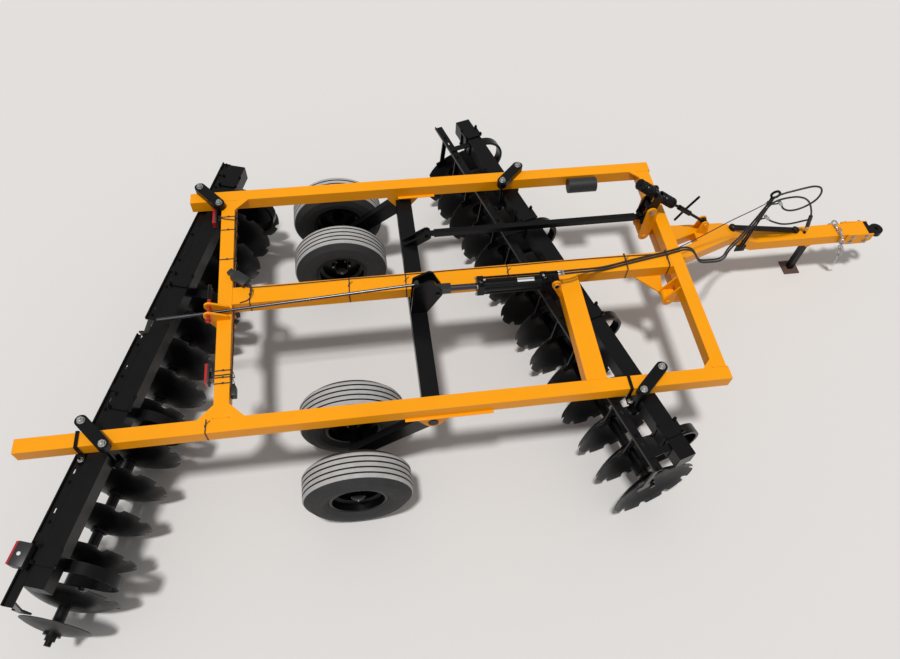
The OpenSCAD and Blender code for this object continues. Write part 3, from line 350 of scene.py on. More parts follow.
def dress_nodes():
    """Gives every CAD node its material; each tyre has its own, centred on its axle."""
    slot_of = {row["node"]: row["material_slot"] for row in frame["record"]["subparts"]}
    for name, obj in frame["nodes"].items():
        if name.startswith("tyre"):
            low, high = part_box(name)
            centre = [(a + b) / 2 for a, b in zip(low, high)]
            mat = tyre_rubber("rubber_" + name, centre, (high[2] - low[2]) / 2 - TREAD_DEPTH)
        else:
            mat = SLOT_MATERIALS[slot_of[name]]
        for s in obj.material_slots:
            s.material = mat


def add_studio():
    """Pale floor and soft light at a plain level."""
    bpy.ops.mesh.primitive_plane_add(size=60.0, location=(0, 0, -0.001))
    floor = bpy.context.object
    floor.name = "floor"
    mat, nodes, links, shader = nodes_of("floor")
    shader.inputs["Base Color"].default_value = (0.64, 0.62, 0.60, 1.0)
    shader.inputs["Roughness"].default_value = 0.9
    floor.data.materials.append(mat)
    world = bpy.data.worlds.new("studio")
    bpy.context.scene.world = world
    world.use_nodes = True
    back = world.node_tree.nodes["Background"]
    back.inputs["Color"].default_value = (1.0, 1.0, 1.0, 1.0)
    back.inputs["Strength"].default_value = 0.42
    sun = bpy.data.lights.new("key", "SUN")
    sun.energy = 2.5
    sun.angle = math.radians(6)
    key = bpy.data.objects.new("key", sun)
    key.rotation_euler = Vector((0.163, 0.198, -1.0)).to_track_quat("-Z", "Y").to_euler()
    bpy.context.scene.collection.objects.link(key)
    bpy.context.scene.view_settings.view_transform = "Standard"


def basis(axis):
    """Two directions square to an axis, and the axis itself."""
    z = Vector(axis).normalized()
    x = (Vector((0, 0, 1)) if abs(z.z) < 0.9 else Vector((1, 0, 0))).cross(z).normalized()
    return x, z.cross(x), z


class Pile:
    """Mesh in the making: solids are added in layout metres, then it becomes one piece."""

    def __init__(self):
        self.bm = bmesh.new()

    def rings(self, rows, closed=False):
        """Skin over equal rings of points, capped at both ends or closed on itself."""
        made = [[self.bm.verts.new(at(*p)) for p in row] for row in rows]
        n = len(made[0])
        pairs = list(zip(made, made[1:] + made[:1])) if closed else list(zip(made, made[1:]))
        for a, b in pairs:
            for k in range(n):
                self.bm.faces.new((a[k], a[(k + 1) % n], b[(k + 1) % n], b[k]))
        if not closed:
            self.bm.faces.new(made[0][::-1])
            self.bm.faces.new(made[-1])

    def lathe(self, centre, axis, rows, sides=20):
        """Solid of revolution from (radius, height) rows."""
        x, y, z = basis(axis)
        c = Vector(centre)
        turns = [2 * math.pi * k / sides for k in range(sides)]
        self.rings([[c + z * h + (x * math.cos(t) + y * math.sin(t)) * r for t in turns] for r, h in rows])

    def plug(self, centre, axis, radius, length, drop, ease, sides=20):
        """Round bar whose ends taper by drop off the radius over ease of the length."""
        self.lathe(centre, axis, [(radius - drop, 0), (radius, ease), (radius, length - ease),
                                  (radius - drop, length)], sides)

    def pipe(self, points, radius, sides=8, closed=False, radii=None):
        """Round section swept along points."""
        pts = [Vector(p) for p in points]
        rows = []
        x = None
        for i, p in enumerate(pts):
            before = pts[i - 1] if i or closed else p
            after = pts[(i + 1) % len(pts)] if i + 1 < len(pts) or closed else p
            d = (after - before).normalized()
            x = basis(d)[0] if x is None else (x - d * x.dot(d)).normalized()
            y = d.cross(x)
            r = radii[i] if radii else radius
            turns = [2 * math.pi * k / sides for k in range(sides)]
            rows.append([p + (x * math.cos(t) + y * math.sin(t)) * r for t in turns])
        self.rings(rows, closed)

    def slab(self, centre, size, turn=0.0, bevel=0.002):
        """Block with eased edges, turned about Z in degrees."""
        place = Matrix.Translation(at(*centre)) @ Matrix.Rotation(math.radians(turn), 4, "Z")
        made = bmesh.ops.create_cube(self.bm, size=1.0, matrix=place @ Matrix.Diagonal((*size, 1.0)))
        if bevel:
            edges = list({e for v in made["verts"] for e in v.link_edges})
            bmesh.ops.bevel(self.bm, geom=edges, offset=bevel, segments=2, affect="EDGES", profile=0.5)

    def belt(self, path, across, width, thick):
        """Flat band closed round a path, its width along the given direction."""
        pts = [Vector(p) for p in path]
        a = Vector(across).normalized()
        mid = sum(pts, Vector()) / len(pts)
        rows = []
        for i, p in enumerate(pts):
            along = (pts[(i + 1) % len(pts)] - pts[i - 1]).normalized()
            out = along.cross(a)
            out = out if out.dot(p - mid) > 0 else -out
            rows.append([p - a * width / 2, p + a * width / 2, p + a * width / 2 + out * thick,
                         p - a * width / 2 + out * thick])
        self.rings(rows, closed=True)

    def nut(self, centre, axis, across, height, stud=0.0):
        """Hexagon with eased corners, and the bolt's end standing out of it."""
        r = across / 1.732
        self.lathe(centre, axis, [(r * 0.88, 0), (r, height * 0.12), (r, height * 0.86),
                                  (r * 0.86, height)], 6)
        if stud:
            self.lathe(centre, axis, [(r * 0.5, height * 0.9), (r * 0.5, height + stud * 0.8),
                                      (r * 0.4, height + stud)], 12)

    def washer(self, centre, axis, radius, thick):
        """Flat washer, drawn as a disc because a nut covers its hole."""
        self.lathe(centre, axis, [(radius - 0.0006, 0), (radius, 0.0006), (radius, thick - 0.0006),
                                  (radius - 0.0008, thick)], 24)

    def finish(self, name, body, mat):
        """Closes the mesh into a named piece that rides on a body."""
        bmesh.ops.recalc_face_normals(self.bm, faces=self.bm.faces)
        mesh = bpy.data.meshes.new(name)
        self.bm.to_mesh(mesh)
        self.bm.free()
        mesh.shade_smooth()
        mesh.set_sharp_from_angle(angle=math.radians(32))
        mesh.materials.append(mat)
        obj = bpy.data.objects.new(name, mesh)
        bpy.context.scene.collection.objects.link(obj)
        if body:
            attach(obj, body)
        return obj


def smooth_path(points, step=0.012):
    """Catmull-Rom curve through points, sampled about every step."""
    pts = [Vector(p) for p in points]
    pts = [pts[0] * 2 - pts[1]] + pts + [pts[-1] * 2 - pts[-2]]
    out = []
    for a, b, c, d in zip(pts, pts[1:], pts[2:], pts[3:]):
        n = max(2, round((c - b).length / step))
        for k in range(n):
            t = k / n
            out.append(0.5 * ((2 * b) + (c - a) * t + (2 * a - 5 * b + 4 * c - d) * t * t
                              + (3 * b - a - 3 * c + d) * t ** 3))
    return out + [pts[-2]]


# Routes of the hydraulic hoses, as in the solids: along the frame, up the holder post, and the loops
FRAME_ROUTE = [(2.557, 0.940, 1.183), (2.620, 0.950, 1.172), (2.700, 0.984, 1.128), (2.800, 1.020, 1.080),
               (2.900, 1.047, 1.050), (3.000, 1.070, 1.0385), (3.150, 1.100, 1.0385), (3.300, 1.127, 1.0385),
               (3.450, 1.152, 1.0385), (3.560, 1.176, 1.0385), (3.620, 1.182, 1.038), (3.670, 1.184, 1.020),
               (3.710, 1.184, 0.984), (3.742, 1.184, 0.936), (3.774, 1.184, 0.888), (3.806, 1.186, 0.855),
               (3.845, 1.188, 0.841), (3.890, 1.188, 0.840)]
TONGUE_ROUTE = [(3.935, 1.188, 0.839), (3.985, 1.202, 0.828), (4.040, 1.240, 0.798), (4.100, 1.300, 0.752),
                (4.160, 1.370, 0.708), (4.220, 1.430, 0.680), (4.280, 1.480, 0.674), (4.335, 1.513, 0.702),
                (4.378, 1.535, 0.765), (4.408, 1.543, 0.850), (4.430, 1.544, 0.950), (4.448, 1.544, 1.040)]
RING_LOOP = [(4.464, 1.556, 1.100), (4.498, 1.556, 1.150), (4.550, 1.556, 1.178), (4.620, 1.556, 1.198),
             (4.700, 1.556, 1.220), (4.780, 1.556, 1.234), (4.848, 1.556, 1.212), (4.884, 1.556, 1.148),
             (4.876, 1.556, 1.070), (4.825, 1.556, 1.004), (4.752, 1.556, 0.964), (4.680, 1.556, 0.960),
             (4.620, 1.556, 0.990), (4.580, 1.556, 1.040)]
DUST_CAP_LOOP = [(4.466, 1.532, 1.088), (4.506, 1.533, 1.124), (4.570, 1.543, 1.130), (4.645, 1.562, 1.116),
                 (4.725, 1.588, 1.084), (4.810, 1.606, 1.040), (4.880, 1.622, 0.980), (4.935, 1.636, 0.912),
                 (4.975, 1.646, 0.850), (5.003, 1.650, 0.800), (5.0229, 1.650, 0.7504)]
TAIL_ROUTE = [(5.018, 1.650, 0.702), (4.960, 1.640, 0.704), (4.890, 1.622, 0.712), (4.817, 1.606, 0.722),
              (4.735, 1.597, 0.738), (4.658, 1.593, 0.770), (4.595, 1.586, 0.808), (4.552, 1.574, 0.848)]
HOSE_D = 0.016
HOSE_SPREAD = 0.012

# Couplers at the loops' ends, and the boot that takes the dust-cap hose with the share of its
# length that is rubber: the two ends of each axis
COUPLERS = {"coupler_ring": ((4.5798, 1.556, 1.0403), (4.540, 1.556, 1.088)),
            "coupler_tail": ((4.5517, 1.574, 0.8483), (4.510, 1.574, 0.890))}
BOOT = ((5.023, 1.650, 0.750), (5.066, 1.650, 0.561))
BOOT_SHARE = 0.7


def add_couplers():
    """Zinc quick couplers with knurled sleeves, and the rubber boot on the tongue."""
    for name, ends in COUPLERS.items():
        a, b = (Vector(p) for p in ends)
        long = (b - a).length
        pile = Pile()
        pile.nut(a, b - a, 0.027, 0.016)
        pile.lathe(a, b - a, [(0.0135, 0.016), (0.0142, 0.018), (0.0142, 0.03), (0.0136, 0.032),
                              (0.0136, 0.036), (0.0148, 0.038), (0.0148, long - 0.004),
                              (0.0136, long + 0.001)], 24)
        pile.finish(name, "tongue", ZINC)
    a, b = (Vector(p) for p in BOOT)
    long = (b - a).length
    pile = Pile()
    pile.lathe(a, b - a, [(0.009, -0.002), (0.0168, 0.004), (0.0168, 0.03), (0.0178, 0.032), (0.0178, 0.04),
                          (0.0168, 0.042), (0.0168, long * 0.5), (0.0182, long * 0.52), (0.0182, long * 0.6),
                          (0.0166, long * 0.62), (0.0166, long * BOOT_SHARE)], 24)
    pile.finish("dust_boot", "tongue", RUBBER)
    pile = Pile()
    pile.lathe(a + (b - a) * BOOT_SHARE, b - a,
               [(0.0172, 0), (0.0178, 0.002), (0.0178, 0.012), (0.0172, 0.014), (0.0172, long * 0.27),
                (0.0160, long * (1 - BOOT_SHARE))], 24)
    pile.finish("boot_end", "tongue", ZINC)


def add_hose(name, points, bodies, nodes):
    """Hydraulic hose as a round tube along its route, in place of the CAD hose parts."""
    line = smooth_path(points)
    pile = Pile()
    pile.pipe(line, HOSE_D / 2, 14)
    obj = pile.finish(name, None, RUBBER)
    if len(bodies) == 2:
        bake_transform(obj)
    else:
        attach(obj, bodies[0])
    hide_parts(*nodes)


def add_hoses():
    """The two lines from the lift cylinder to the tongue, and the short tail on the dust cap."""
    def shifted(points, y):
        return [(p[0], p[1] + y, p[2]) for p in points]
    for name, y, loop, end in (("hose_dust_cap", -HOSE_SPREAD, DUST_CAP_LOOP, "dust_boot"),
                               ("hose_ring", HOSE_SPREAD, RING_LOOP, "coupler_ring")):
        add_hose(name, shifted(FRAME_ROUTE + TONGUE_ROUTE, y) + loop, ("frame", "tongue"),
                 ("hoses_frame", "hoses_tongue"))
    add_hose("hose_tail", TAIL_ROUTE, ("tongue",), ("hoses_tongue",))


def gang_point(gang, x, y, z):
    """Layout point from a gang's own frame: Y along its beam, X square to it."""
    g = GANGS[gang]
    c, s = math.cos(math.radians(g.turn)), math.sin(math.radians(g.turn))
    return Vector((g.x + c * x - s * y * g.side, g.y + s * x + c * y * g.side, z))


def blade_at(i):
    """A blade's place along its gang."""
    return (i - (BLADES - 1) / 2) * PITCH


def add_strap_bolts():
    """Zinc nuts, washers and bolt heads on the gang clamps."""
    pile = Pile()
    top = FRAME_TOP + 0.052
    low = FRAME_LOW - BEAM - 0.028
    for x, y in STRAP_BOLTS:
        pile.washer((x, y, top), Z_AXIS, 0.026, 0.004)
        pile.nut((x, y, top + 0.004), Z_AXIS, 0.0385, 0.017, 0.014)
        pile.washer((x, y, low - 0.004), Z_AXIS, 0.026, 0.004)
        pile.nut((x, y, low - 0.003), -Z_AXIS, 0.0385, 0.018)
    for x, y in LIGHT_CLAMP_BOLTS:
        pile.washer((x, y, FRAME_LOW - 0.0003), Z_AXIS, 0.019, 0.003)
        pile.nut((x, y, FRAME_LOW + 0.0027), Z_AXIS, 0.0275, 0.013, 0.010)
    pile.finish("clamp_bolts", "frame", ZINC)


def add_gang_bolts():
    """Nuts on the hangers' clamp plates and on the scraper shanks."""
    nuts = Pile()
    bolts = Pile()
    half_plate = 0.0495
    ball_r = (BLADE_R ** 2 + DISH ** 2) / (2 * DISH)
    scraper_r = math.hypot(0.19, 0.285)
    shank = ball_r - math.sqrt(ball_r ** 2 - scraper_r ** 2) + 0.020
    for name, gang in GANGS.items():
        for blade in (0, 4, 8, 12):
            mid = gang.shift + blade_at(blade + 0.5) - 0.046
            for x in (-0.0705, 0.070):
                for y in (mid - half_plate, mid + half_plate):
                    c = gang_point(name, x, y, FRAME_LOW + 0.012)
                    if not inside_frame(c):
                        nuts.nut(c, Z_AXIS, 0.024, 0.014, 0.012)
            for y in (mid - half_plate, mid + half_plate):
                nuts.nut(gang_point(name, -0.0705, y, FRAME_LOW - BEAM), -Z_AXIS, 0.024, 0.014, 0.010)
        for i in range(BLADES):
            c = gang_point(name, gang.bar_x + 0.036, gang.shift + blade_at(i) - shank, FRAME_LOW - 0.024)
            bolts.washer(c, Z_AXIS, 0.014, 0.002)
            bolts.nut(c + Z_AXIS * 0.002, Z_AXIS, 0.019, 0.010, 0.006)
    nuts.finish("hanger_nuts", "frame", BLACK)
    bolts.finish("scraper_bolts", "frame", BLACK)


def inside_frame(p):
    """True for a point under one of the frame's tubes, where a nut would stand in the tube."""
    across = [(0.0, TUBE), (LEFT_RAIL, FRAME_WIDTH), MIDDLE_TUBE]
    along = [(0.0, TUBE), (FRAME_LENGTH - TUBE, FRAME_LENGTH), INNER_TUBE]
    pad = 0.016
    if any(a - pad < p.y < b + pad for a, b in across):
        return True
    return -pad < p.y < FRAME_WIDTH and any(a - pad < p.x < b + pad for a, b in along)


def add_wheel_details():
    """Stud ends, hub caps with a grease nipple and valve stems on the four rims."""
    studs, stud_circle = 6, 0.070
    for side, arm_y in ARM_YS.items():
        dark = Pile()
        bright = Pile()
        for s in (-1, 1):
            hub = Vector((WHEEL_X, arm_y + s * WHEEL_OFFSET, WHEEL_Z))
            out = Y_AXIS * s
            dark.lathe(hub + out * 0.079, out,
                       [(0.047, 0), (0.047, 0.006), (0.040, 0.014), (0.022, 0.020), (0.008, 0.021)], 28)
            bright.lathe(hub + out * 0.099, out,
                         [(0.006, 0), (0.006, 0.006), (0.0035, 0.008), (0.0045, 0.012), (0.003, 0.014)], 12)
            for i in range(studs):
                a = 2 * math.pi * i / studs
                stud = hub + Vector((stud_circle * math.cos(a), 0, stud_circle * math.sin(a)))
                bright.lathe(stud + out * 0.022, out, [(0.0075, 0), (0.0075, 0.010), (0.0062, 0.012)], 12)
            stem = hub + X_AXIS * 0.150 + out * 0.006
            dark.pipe([stem, stem + out * 0.03 + X_AXIS * 0.004, stem + out * 0.052 + X_AXIS * 0.008],
                      0.0045, 10)
        dark.finish("hub_caps_" + side, "wheels_" + side, BLACK)
        bright.finish("wheel_studs_" + side, "wheels_" + side, ZINC)


def add_seams():
    """Weld beads where the frame's tubes meet, and over the rockshaft's brackets."""
    pile = Pile()

    def bead(a, b, r=0.0045):
        a, b = Vector(a), Vector(b)
        n = max(4, round((b - a).length / 0.005))
        pts = [a + (b - a) * (i / n) for i in range(n + 1)]
        radii = [r * (0.82 + 0.30 * abs(math.sin(i * 1.7)) + RNG.uniform(-0.06, 0.06))
                 for i in range(n + 1)]
        pile.pipe(pts, r, 6, radii=radii)

    front = (FRAME_LENGTH - TUBE, FRAME_LENGTH)
    joints = [((x0, y), (x1, y)) for x0, x1 in ((0.0, TUBE), front) for y in (TUBE, LEFT_RAIL)]
    joints += [((INNER_TUBE[0], y), (INNER_TUBE[1], y)) for y in (TUBE, MIDDLE_TUBE[0])]
    joints += [((x, MIDDLE_TUBE[0]), (x, MIDDLE_TUBE[1])) for x in (TUBE, front[0])]
    for (x0, y0), (x1, y1) in joints:
        for z in (FRAME_TOP, FRAME_LOW):
            bead((x0, y0, z), (x1, y1, z), 0.0035 if z == FRAME_TOP else 0.0045)
        for x, y in ((x0, y0), (x1, y1)):
            bead((x, y, FRAME_LOW), (x, y, FRAME_TOP))
    for y in (0.014, TUBE - 0.014, LEFT_RAIL + 0.014, FRAME_WIDTH - 0.014):
        bead((ROCKSHAFT_X - 0.125, y, FRAME_LOW), (ROCKSHAFT_X + 0.125, y, FRAME_LOW))
    pile.finish("frame_welds", "frame", YELLOW)


def tie_outline(a0, a1, z0, z1):
    """Rounded outline of a tie round a tube: each point's corner, its place across and its height."""
    gap, r = 0.001, 0.004
    corners = ((a0 - gap, z1 + gap, (0, -1), (1, 0)), (a1 + gap, z1 + gap, (-1, 0), (0, -1)),
               (a1 + gap, z0 - gap, (0, 1), (-1, 0)), (a0 - gap, z0 - gap, (1, 0), (0, 1)))
    return [(a, a + da * r, z + dz * r) for a, z, *turns in corners for da, dz in turns]


def tie_round_y(pile, x, y0, y1, z0, z1, lean=0.0):
    """Cable tie round a tube that runs along X, with its head and tail on top."""
    path = [(x + lean * (corner - y0), y, z) for corner, y, z in tie_outline(y0, y1, z0, z1)]
    pile.belt(path, X_AXIS, *TIE)
    mid = (y0 + y1) / 2
    pile.slab((x, mid, z1 + 0.005), (0.012, 0.014, 0.008), bevel=0.001)
    pile.pipe([(x, mid, z1 + 0.006), (x + 0.012, mid + 0.02, z1 + 0.012),
               (x + 0.03, mid + 0.035, z1 + 0.010)], TIE[1], 6)


def tie_round_x(pile, y, x0, x1, z0, z1):
    """Cable tie round a tube that runs along Y."""
    pile.belt([(x, y, z) for _, x, z in tie_outline(x0, x1, z0, z1)], Y_AXIS, *TIE)
    pile.slab(((x0 + x1) / 2, y, z1 + 0.005), (0.014, 0.012, 0.008), bevel=0.001)


def add_ties_and_cables():
    """Cable ties, the lamp wiring along the tubes and its junction boxes."""
    ties = Pile()
    hoses_from, over_hoses = 3.0, 0.018
    for x in (0.229, 0.957, 1.383, 2.169, 3.104, 3.442):
        top = FRAME_TOP + (over_hoses if x > hoses_from else 0.0)
        tie_round_y(ties, x, *MIDDLE_TUBE, FRAME_LOW, top, 0.04)
    tie_round_y(ties, -0.046, 0.0, TUBE, FRAME_LOW, FRAME_TOP, 0.03)
    for y in (1.890, 1.753, 1.455, 0.467, 0.412, 0.365):
        tie_round_x(ties, y, 0.0, TUBE + 0.012, FRAME_LOW, FRAME_TOP)
    ties.finish("cable_ties", "frame", PLASTIC)

    wires = Pile()

    def wire(points, r=0.004):
        wires.pipe(smooth_path(points, 0.02), r, 8)

    side = TUBE + 0.006
    wire([(side, 0.30, 0.985), (side, 0.365, 0.990), (side, 0.467, 0.992), (side, 0.70, 0.970),
          (side, 0.95, 0.976), (side, 1.018, 0.985)])
    wire([(side, 1.19, 0.985), (side, 1.455, 0.992), (side, 1.60, 0.972), (side, 1.753, 0.990),
          (side, 1.890, 0.990), (side, 1.98, 0.985)])
    wire([(side, 1.47, 1.000), (side + 0.008, 1.58, 0.988), (side, 1.70, 1.002), (side, 1.80, 0.996),
          (side, 1.93, 0.998)])
    wire([(-0.043, 0.455, 0.985), (-0.018, 0.440, 1.000), (-0.006, 0.430, 1.034), (0.04, 0.428, 1.036),
          (0.095, 0.430, 1.036), (side + 0.002, 0.425, 1.020), (side, 0.40, 0.992)])
    wire([(-0.043, 1.935, 0.985), (-0.016, 1.905, 1.005), (-0.006, 1.88, 1.034), (0.05, 1.86, 1.036),
          (0.098, 1.85, 1.035), (side + 0.002, 1.84, 1.015), (side, 1.80, 0.992)])
    top = FRAME_TOP + 0.0045
    edge = MIDDLE_TUBE[1] - 0.012
    wire([(0.16, 1.215, top + 0.01), (0.20, 1.19, top), (0.229, edge, top), (0.60, edge - 0.004, top),
          (0.957, edge, top), (1.383, edge - 0.003, top), (1.80, edge, top), (2.169, edge - 0.004, top),
          (2.65, edge, top), (3.104, edge - 0.004, top), (3.30, edge - 0.010, top),
          (3.442, edge - 0.006, top), (3.560, 1.194, top)])
    wire([(0.17, 1.20, 1.055), (0.23, 1.16, 1.075), (0.25, 1.10, 1.06), (0.22, 1.05, 1.038),
          (0.16, 1.03, 1.036)])
    wires.finish("lamp_wires", "frame", RUBBER)

    boxes = Pile()
    turn = -42
    boxes.slab((0.165, 1.235, 1.052), (0.130, 0.085, 0.042), turn, bevel=0.004)
    boxes.slab((0.100, 1.305, 1.046), (0.060, 0.050, 0.030), turn, bevel=0.003)
    for k in range(4):
        c = Vector((0.215 - 0.022 * k, 1.185 + 0.018 * k, 1.052))
        boxes.lathe(c, (0.74, -0.67, 0), [(0.009, 0), (0.009, 0.018), (0.006, 0.022), (0.006, 0.034)], 12)
    boxes.slab((0.121, 0.320, 0.972), (0.036, 0.075, 0.060), bevel=0.003)
    boxes.lathe((0.121, 0.361, 0.975), Y_AXIS, [(0.008, 0), (0.008, 0.016), (0.005, 0.020)], 12)
    boxes.finish("junction_boxes", "frame", PLASTIC)


def add_lamp_details():
    """Black housings and brackets behind the lenses, and the reflector on the rear gang's lamp box."""
    pile = Pile()
    for y in (0.475, 1.935):
        pile.slab((-0.0497, y, 0.978), (0.0150, 0.158, 0.068), bevel=0.003)
        pile.slab((-0.0225, y, 0.974), (0.0400, 0.053, 0.011), bevel=0.001)
        for s in (-0.064, 0.064):
            pile.nut((-0.043, y + s, 0.978), X_AXIS, 0.011, 0.006, 0.006)
    pile.slab(gang_point("rear", -0.138, 1.630, 0.9535), (0.090, 0.146, 0.0745), turn=GANGS["rear"].turn,
              bevel=0.003)
    pile.finish("lamp_housings", "frame", PLASTIC)
    glass = Pile()
    c = gang_point("rear", -0.146, 1.630, 0.9905)
    glass.lathe(c, Z_AXIS, [(0.012, 0), (0.012, 0.003), (0.009, 0.0050), (0.003, 0.0055)], 24)
    glass.finish("reflector", "frame", BLANK)


def add_cylinder_details():
    """Zinc fittings on the ports, tie rod nuts and the blank plate on the barrel."""
    base = Vector(CYLINDER_BASE)
    along = Vector((-0.99986, 0, 0.016739))
    up = Vector((0.016739, 0, 0.99986))
    port_z, block_top, port_y, tie_rod, bracket = 0.084, 0.056, 0.012, 0.042, 0.0645

    def place(x, y, z):
        return base + along * x + Y_AXIS * y + up * z

    zinc = Pile()
    for y in (-port_y, port_y):
        zinc.nut(place(-0.0525, y, port_z), along, 0.0215, 0.020)
        zinc.plug(place(-0.028, y, port_z), along, 0.0108, 0.024, 0.0005, 0.002)
        zinc.nut(place(0.092, y, block_top), up, 0.020, 0.012)
    zinc.nut(place(0.575, -port_y, block_top), up, 0.020, 0.014)
    for x in (0.100, 0.545):
        zinc.plug(place(x, -port_y, port_z), along, 0.0082, 0.017, 0.0014, 0.001, 16)
    for y in (-tie_rod, tie_rod):
        for z in (-tie_rod, tie_rod):
            zinc.nut(place(0.600, y, z), along, 0.024, 0.011)
    zinc.finish("cylinder_fittings", "cylinder_barrel", ZINC)
    plate = Pile()
    barrel_r = 0.0503
    arc = [math.radians(a) for a in range(62, 99, 4)]
    rim = [(a, barrel_r * 1.012) for a in arc] + [(a, barrel_r * 0.996) for a in reversed(arc)]
    plate.rings([[place(x, -math.cos(a) * r, math.sin(a) * r) for a, r in rim] for x in (0.172, 0.300)])
    plate.finish("blank_plate", "cylinder_barrel", BLANK)
    nuts = Pile()
    for s in (-1, 1):
        c = base + Y_AXIS * s * bracket
        nuts.washer(c, Y_AXIS * s, 0.024, 0.003)
        nuts.lathe(c, Y_AXIS * s, [(0.0165, -0.004), (0.0165, 0.001), (0.0145, 0.003)], 24)
    nuts.finish("base_pin_ends", "frame", ZINC)


def link(pile, centre, along, flat, wire_r, long, wide):
    """One stadium-shaped chain link."""
    f = (flat - along * flat.dot(along)).normalized()
    pts = []
    for k in range(16):
        a = 2 * math.pi * k / 16
        shift = math.copysign((long - wide) / 2, math.cos(a))
        pts.append(centre + along * (math.cos(a) * wide / 2 + shift) + f * (math.sin(a) * wide / 2))
    pile.pipe(pts, wire_r, 7, closed=True)


def add_chain():
    """Safety chain over the tongue with its hook hanging on the near side."""
    route = smooth_path([(5.378, 1.742, 0.420), (5.382, 1.745, 0.500), (5.384, 1.728, 0.534),
                         (5.388, 1.655, 0.535), (5.390, 1.585, 0.535), (5.400, 1.556, 0.510),
                         (5.425, 1.550, 0.430), (5.455, 1.549, 0.350), (5.478, 1.549, 0.270),
                         (5.488, 1.549, 0.215)], 0.004)
    pitch, wire_r, long, wide = 0.044, 0.0062, 0.064, 0.040
    pile = Pile()
    gone, links = 0.0, 0
    for a, b in zip(route, route[1:]):
        gone += (b - a).length
        if gone >= links * pitch:
            x, y, d = basis(b - a)
            link(pile, a, d, x + y if links % 2 else x - y, wire_r, long, wide)
            links += 1
    pile.finish("safety_chain", "tongue", ZINC)
    hook = Pile()
    line = smooth_path([(5.488, 1.549, 0.222), (5.489, 1.549, 0.196), (5.494, 1.549, 0.170),
                        (5.512, 1.549, 0.152), (5.532, 1.549, 0.160), (5.538, 1.549, 0.182)], 0.008)
    hook.pipe(line, 0.008, 10, radii=[0.0085 - 0.0035 * i / len(line) for i in range(len(line))])
    hook.finish("chain_hook", "tongue", ZINC)


def add_tongue_details():
    """Bolts in the hitch cheeks and on the crank's pin, the bar's ring bolts and the stand's rusty foot,
    both in rust colour darkened as painted shade.
    """
    zinc = Pile()
    face, ears = TONGUE_HALF + 0.012, 0.0845
    for x in (5.655, 5.520):
        for z in (0.500, 0.432):
            for s in (-1, 1):
                zinc.washer((x, TONGUE_Y + s * face, z), Y_AXIS * s, 0.019, 0.003)
                zinc.nut((x, TONGUE_Y + s * (face + 0.003), z), Y_AXIS * s, 0.028, 0.013, 0.008)
    zinc.finish("hitch_bolts", "tongue", ZINC)
    crank = Pile()
    for s in (-1, 1):
        c = Vector(CRANK_PIN) + Y_AXIS * s * ears
        crank.washer(c, Y_AXIS * s, 0.026, 0.004)
        crank.nut(c + Y_AXIS * s * 0.004, Y_AXIS * s, 0.034, 0.012)
    crank.finish("crank_bolts", "frame", ZINC)
    # The ring bolts and the stand's foot take the rust colour darkened as painted shade
    rust = Pile()
    tilt = Matrix.Rotation(math.radians(BAR_TILT), 3, "Y")
    for x in BAR_RINGS:
        rust.lathe(Vector(BAR_AT) + tilt @ Vector((x, 0, 0.002)), tilt @ Z_AXIS,
                   [(0.0142, 0), (0.0142, 0.016), (0.011, 0.018)], 20)
    rust.finish("bar_ring_bolts", "tongue", RUST_IN_PAINTED_SHADE)
    foot = Pile()
    foot.slab((STAND_X, TONGUE_Y, 0.0056), (0.1515, 0.1515, 0.0110), bevel=0.001)
    foot.finish("foot_rust", "stand", RUST_IN_PAINTED_SHADE)


def add_light_cable():
    """Thin cable that hangs from the front cross tube to the tongue's holder post, tied at both."""
    pile = Pile()
    line = smooth_path([(3.560, 1.194, 1.0345), (3.600, 1.215, 1.030), (3.700, 1.270, 1.004),
                        (3.900, 1.370, 0.985), (4.150, 1.480, 0.990), (4.330, 1.545, 1.005),
                        (4.455, 1.588, 1.030), (4.468, 1.592, 1.060)], 0.02)
    pile.pipe(line, 0.004, 8)
    obj = pile.finish("light_cable", None, RUBBER)
    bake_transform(obj)


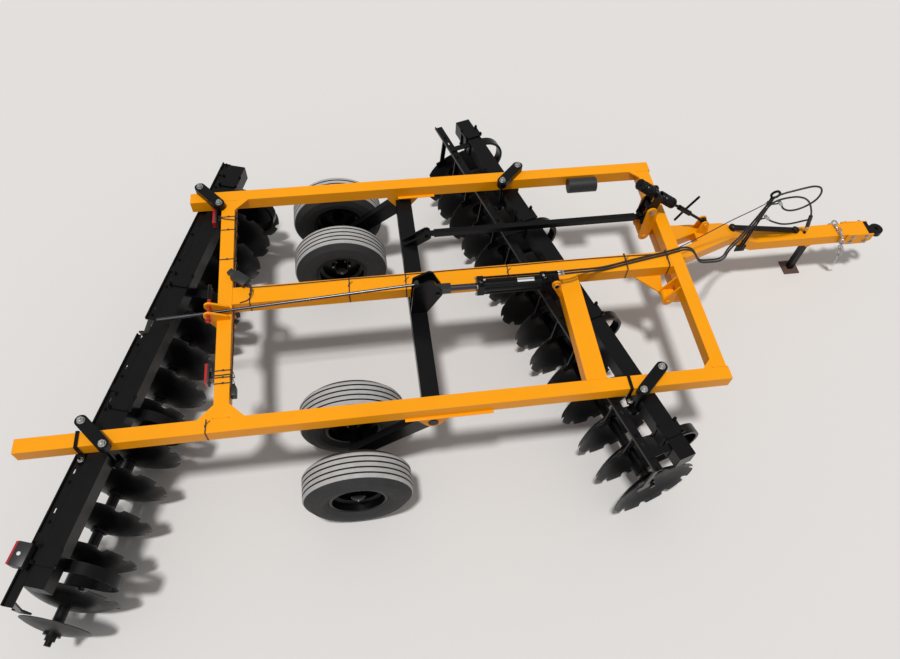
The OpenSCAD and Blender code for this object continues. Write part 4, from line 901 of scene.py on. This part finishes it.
def add_spring_coils():
    """Open coils over the two levelling springs."""
    pile = Pile()
    slope = math.radians(SPRING_SLOPE)
    along = Vector((math.cos(slope), 0, -math.sin(slope)))
    up = Vector((math.sin(slope), 0, math.cos(slope)))
    turns, per_turn, length, r = 6.5, 20, 0.136, SPRING_D / 2 - 0.0035
    steps = round(turns * per_turn)
    for start in (0.049, -0.185):
        pts = []
        for i in range(steps + 1):
            a = 2 * math.pi * i / per_turn
            c = Vector(CRANK_TOP) + along * (start + length * i / steps)
            pts.append(c + (up * math.cos(a) + Y_AXIS * math.sin(a)) * r)
        pile.pipe(pts, 0.0072, 8)
    pile.finish("spring_coils", "spring_rod", BLACK)


def add_flanges():
    """Thin flanges along the rails' lower edges, over the rockshaft's brackets."""
    pile = Pile()
    for x0, x1, y in ((1.264, 1.878, -0.010), (1.420, 1.724, LEFT_RAIL - 0.010)):
        pile.slab(((x0 + x1) / 2, y, FRAME_LOW + 0.002), (x1 - x0, 0.026, 0.006), bevel=0.001)
    pile.finish("rail_flanges", "frame", YELLOW)


def add_pin_details():
    """Red sleeve of the depth stop's cross pin with its head, and a black sleeve over its far end as painted
    shade.
    """
    x, y, z = STOP_PIN
    pile = Pile()
    pile.lathe((x, y, z), Y_AXIS, [(0.0110, -0.0005), (0.0125, 0.001), (0.0125, 0.329), (0.0110, 0.3305)])
    pile.plug((x, 0.845, z), Y_AXIS, 0.022, 0.008, 0.001, 0.001, 24)
    pile.finish("stop_pin_red", "frame", RED)
    # Black sleeve over the pin's far end: painted shade where the pin lies in shadow
    cap = Pile()
    cap.lathe((x, 1.030, z), Y_AXIS, [(0.0127, 0), (0.0138, 0.002), (0.0138, 0.134), (0.0127, 0.1364)])
    cap.finish("stop_pin_painted_shade", "frame", BLACK)


def add_canister_details():
    """End caps of the document canister under the left rail."""
    pile = Pile()
    y, z, r = LEFT_RAIL - 0.0623, FRAME_TOP - 0.050, 0.062
    for x, s in ((2.860, 1), (3.100, -1)):
        pile.lathe((x - s * 0.0005, y, z), X_AXIS * s,
                   [(r - 0.004, 0), (r, 0.003), (r, 0.020), (r - 0.003, 0.024)], 32)
    pile.finish("canister_caps", "frame", PLASTIC)


add_camera()
add_couplers()
add_hoses()
dress_nodes()
add_strap_bolts()
add_gang_bolts()
add_wheel_details()
add_seams()
add_ties_and_cables()
add_lamp_details()
add_cylinder_details()
add_chain()
add_tongue_details()
add_light_cable()
add_spring_coils()
add_flanges()
add_pin_details()
add_canister_details()
add_studio()
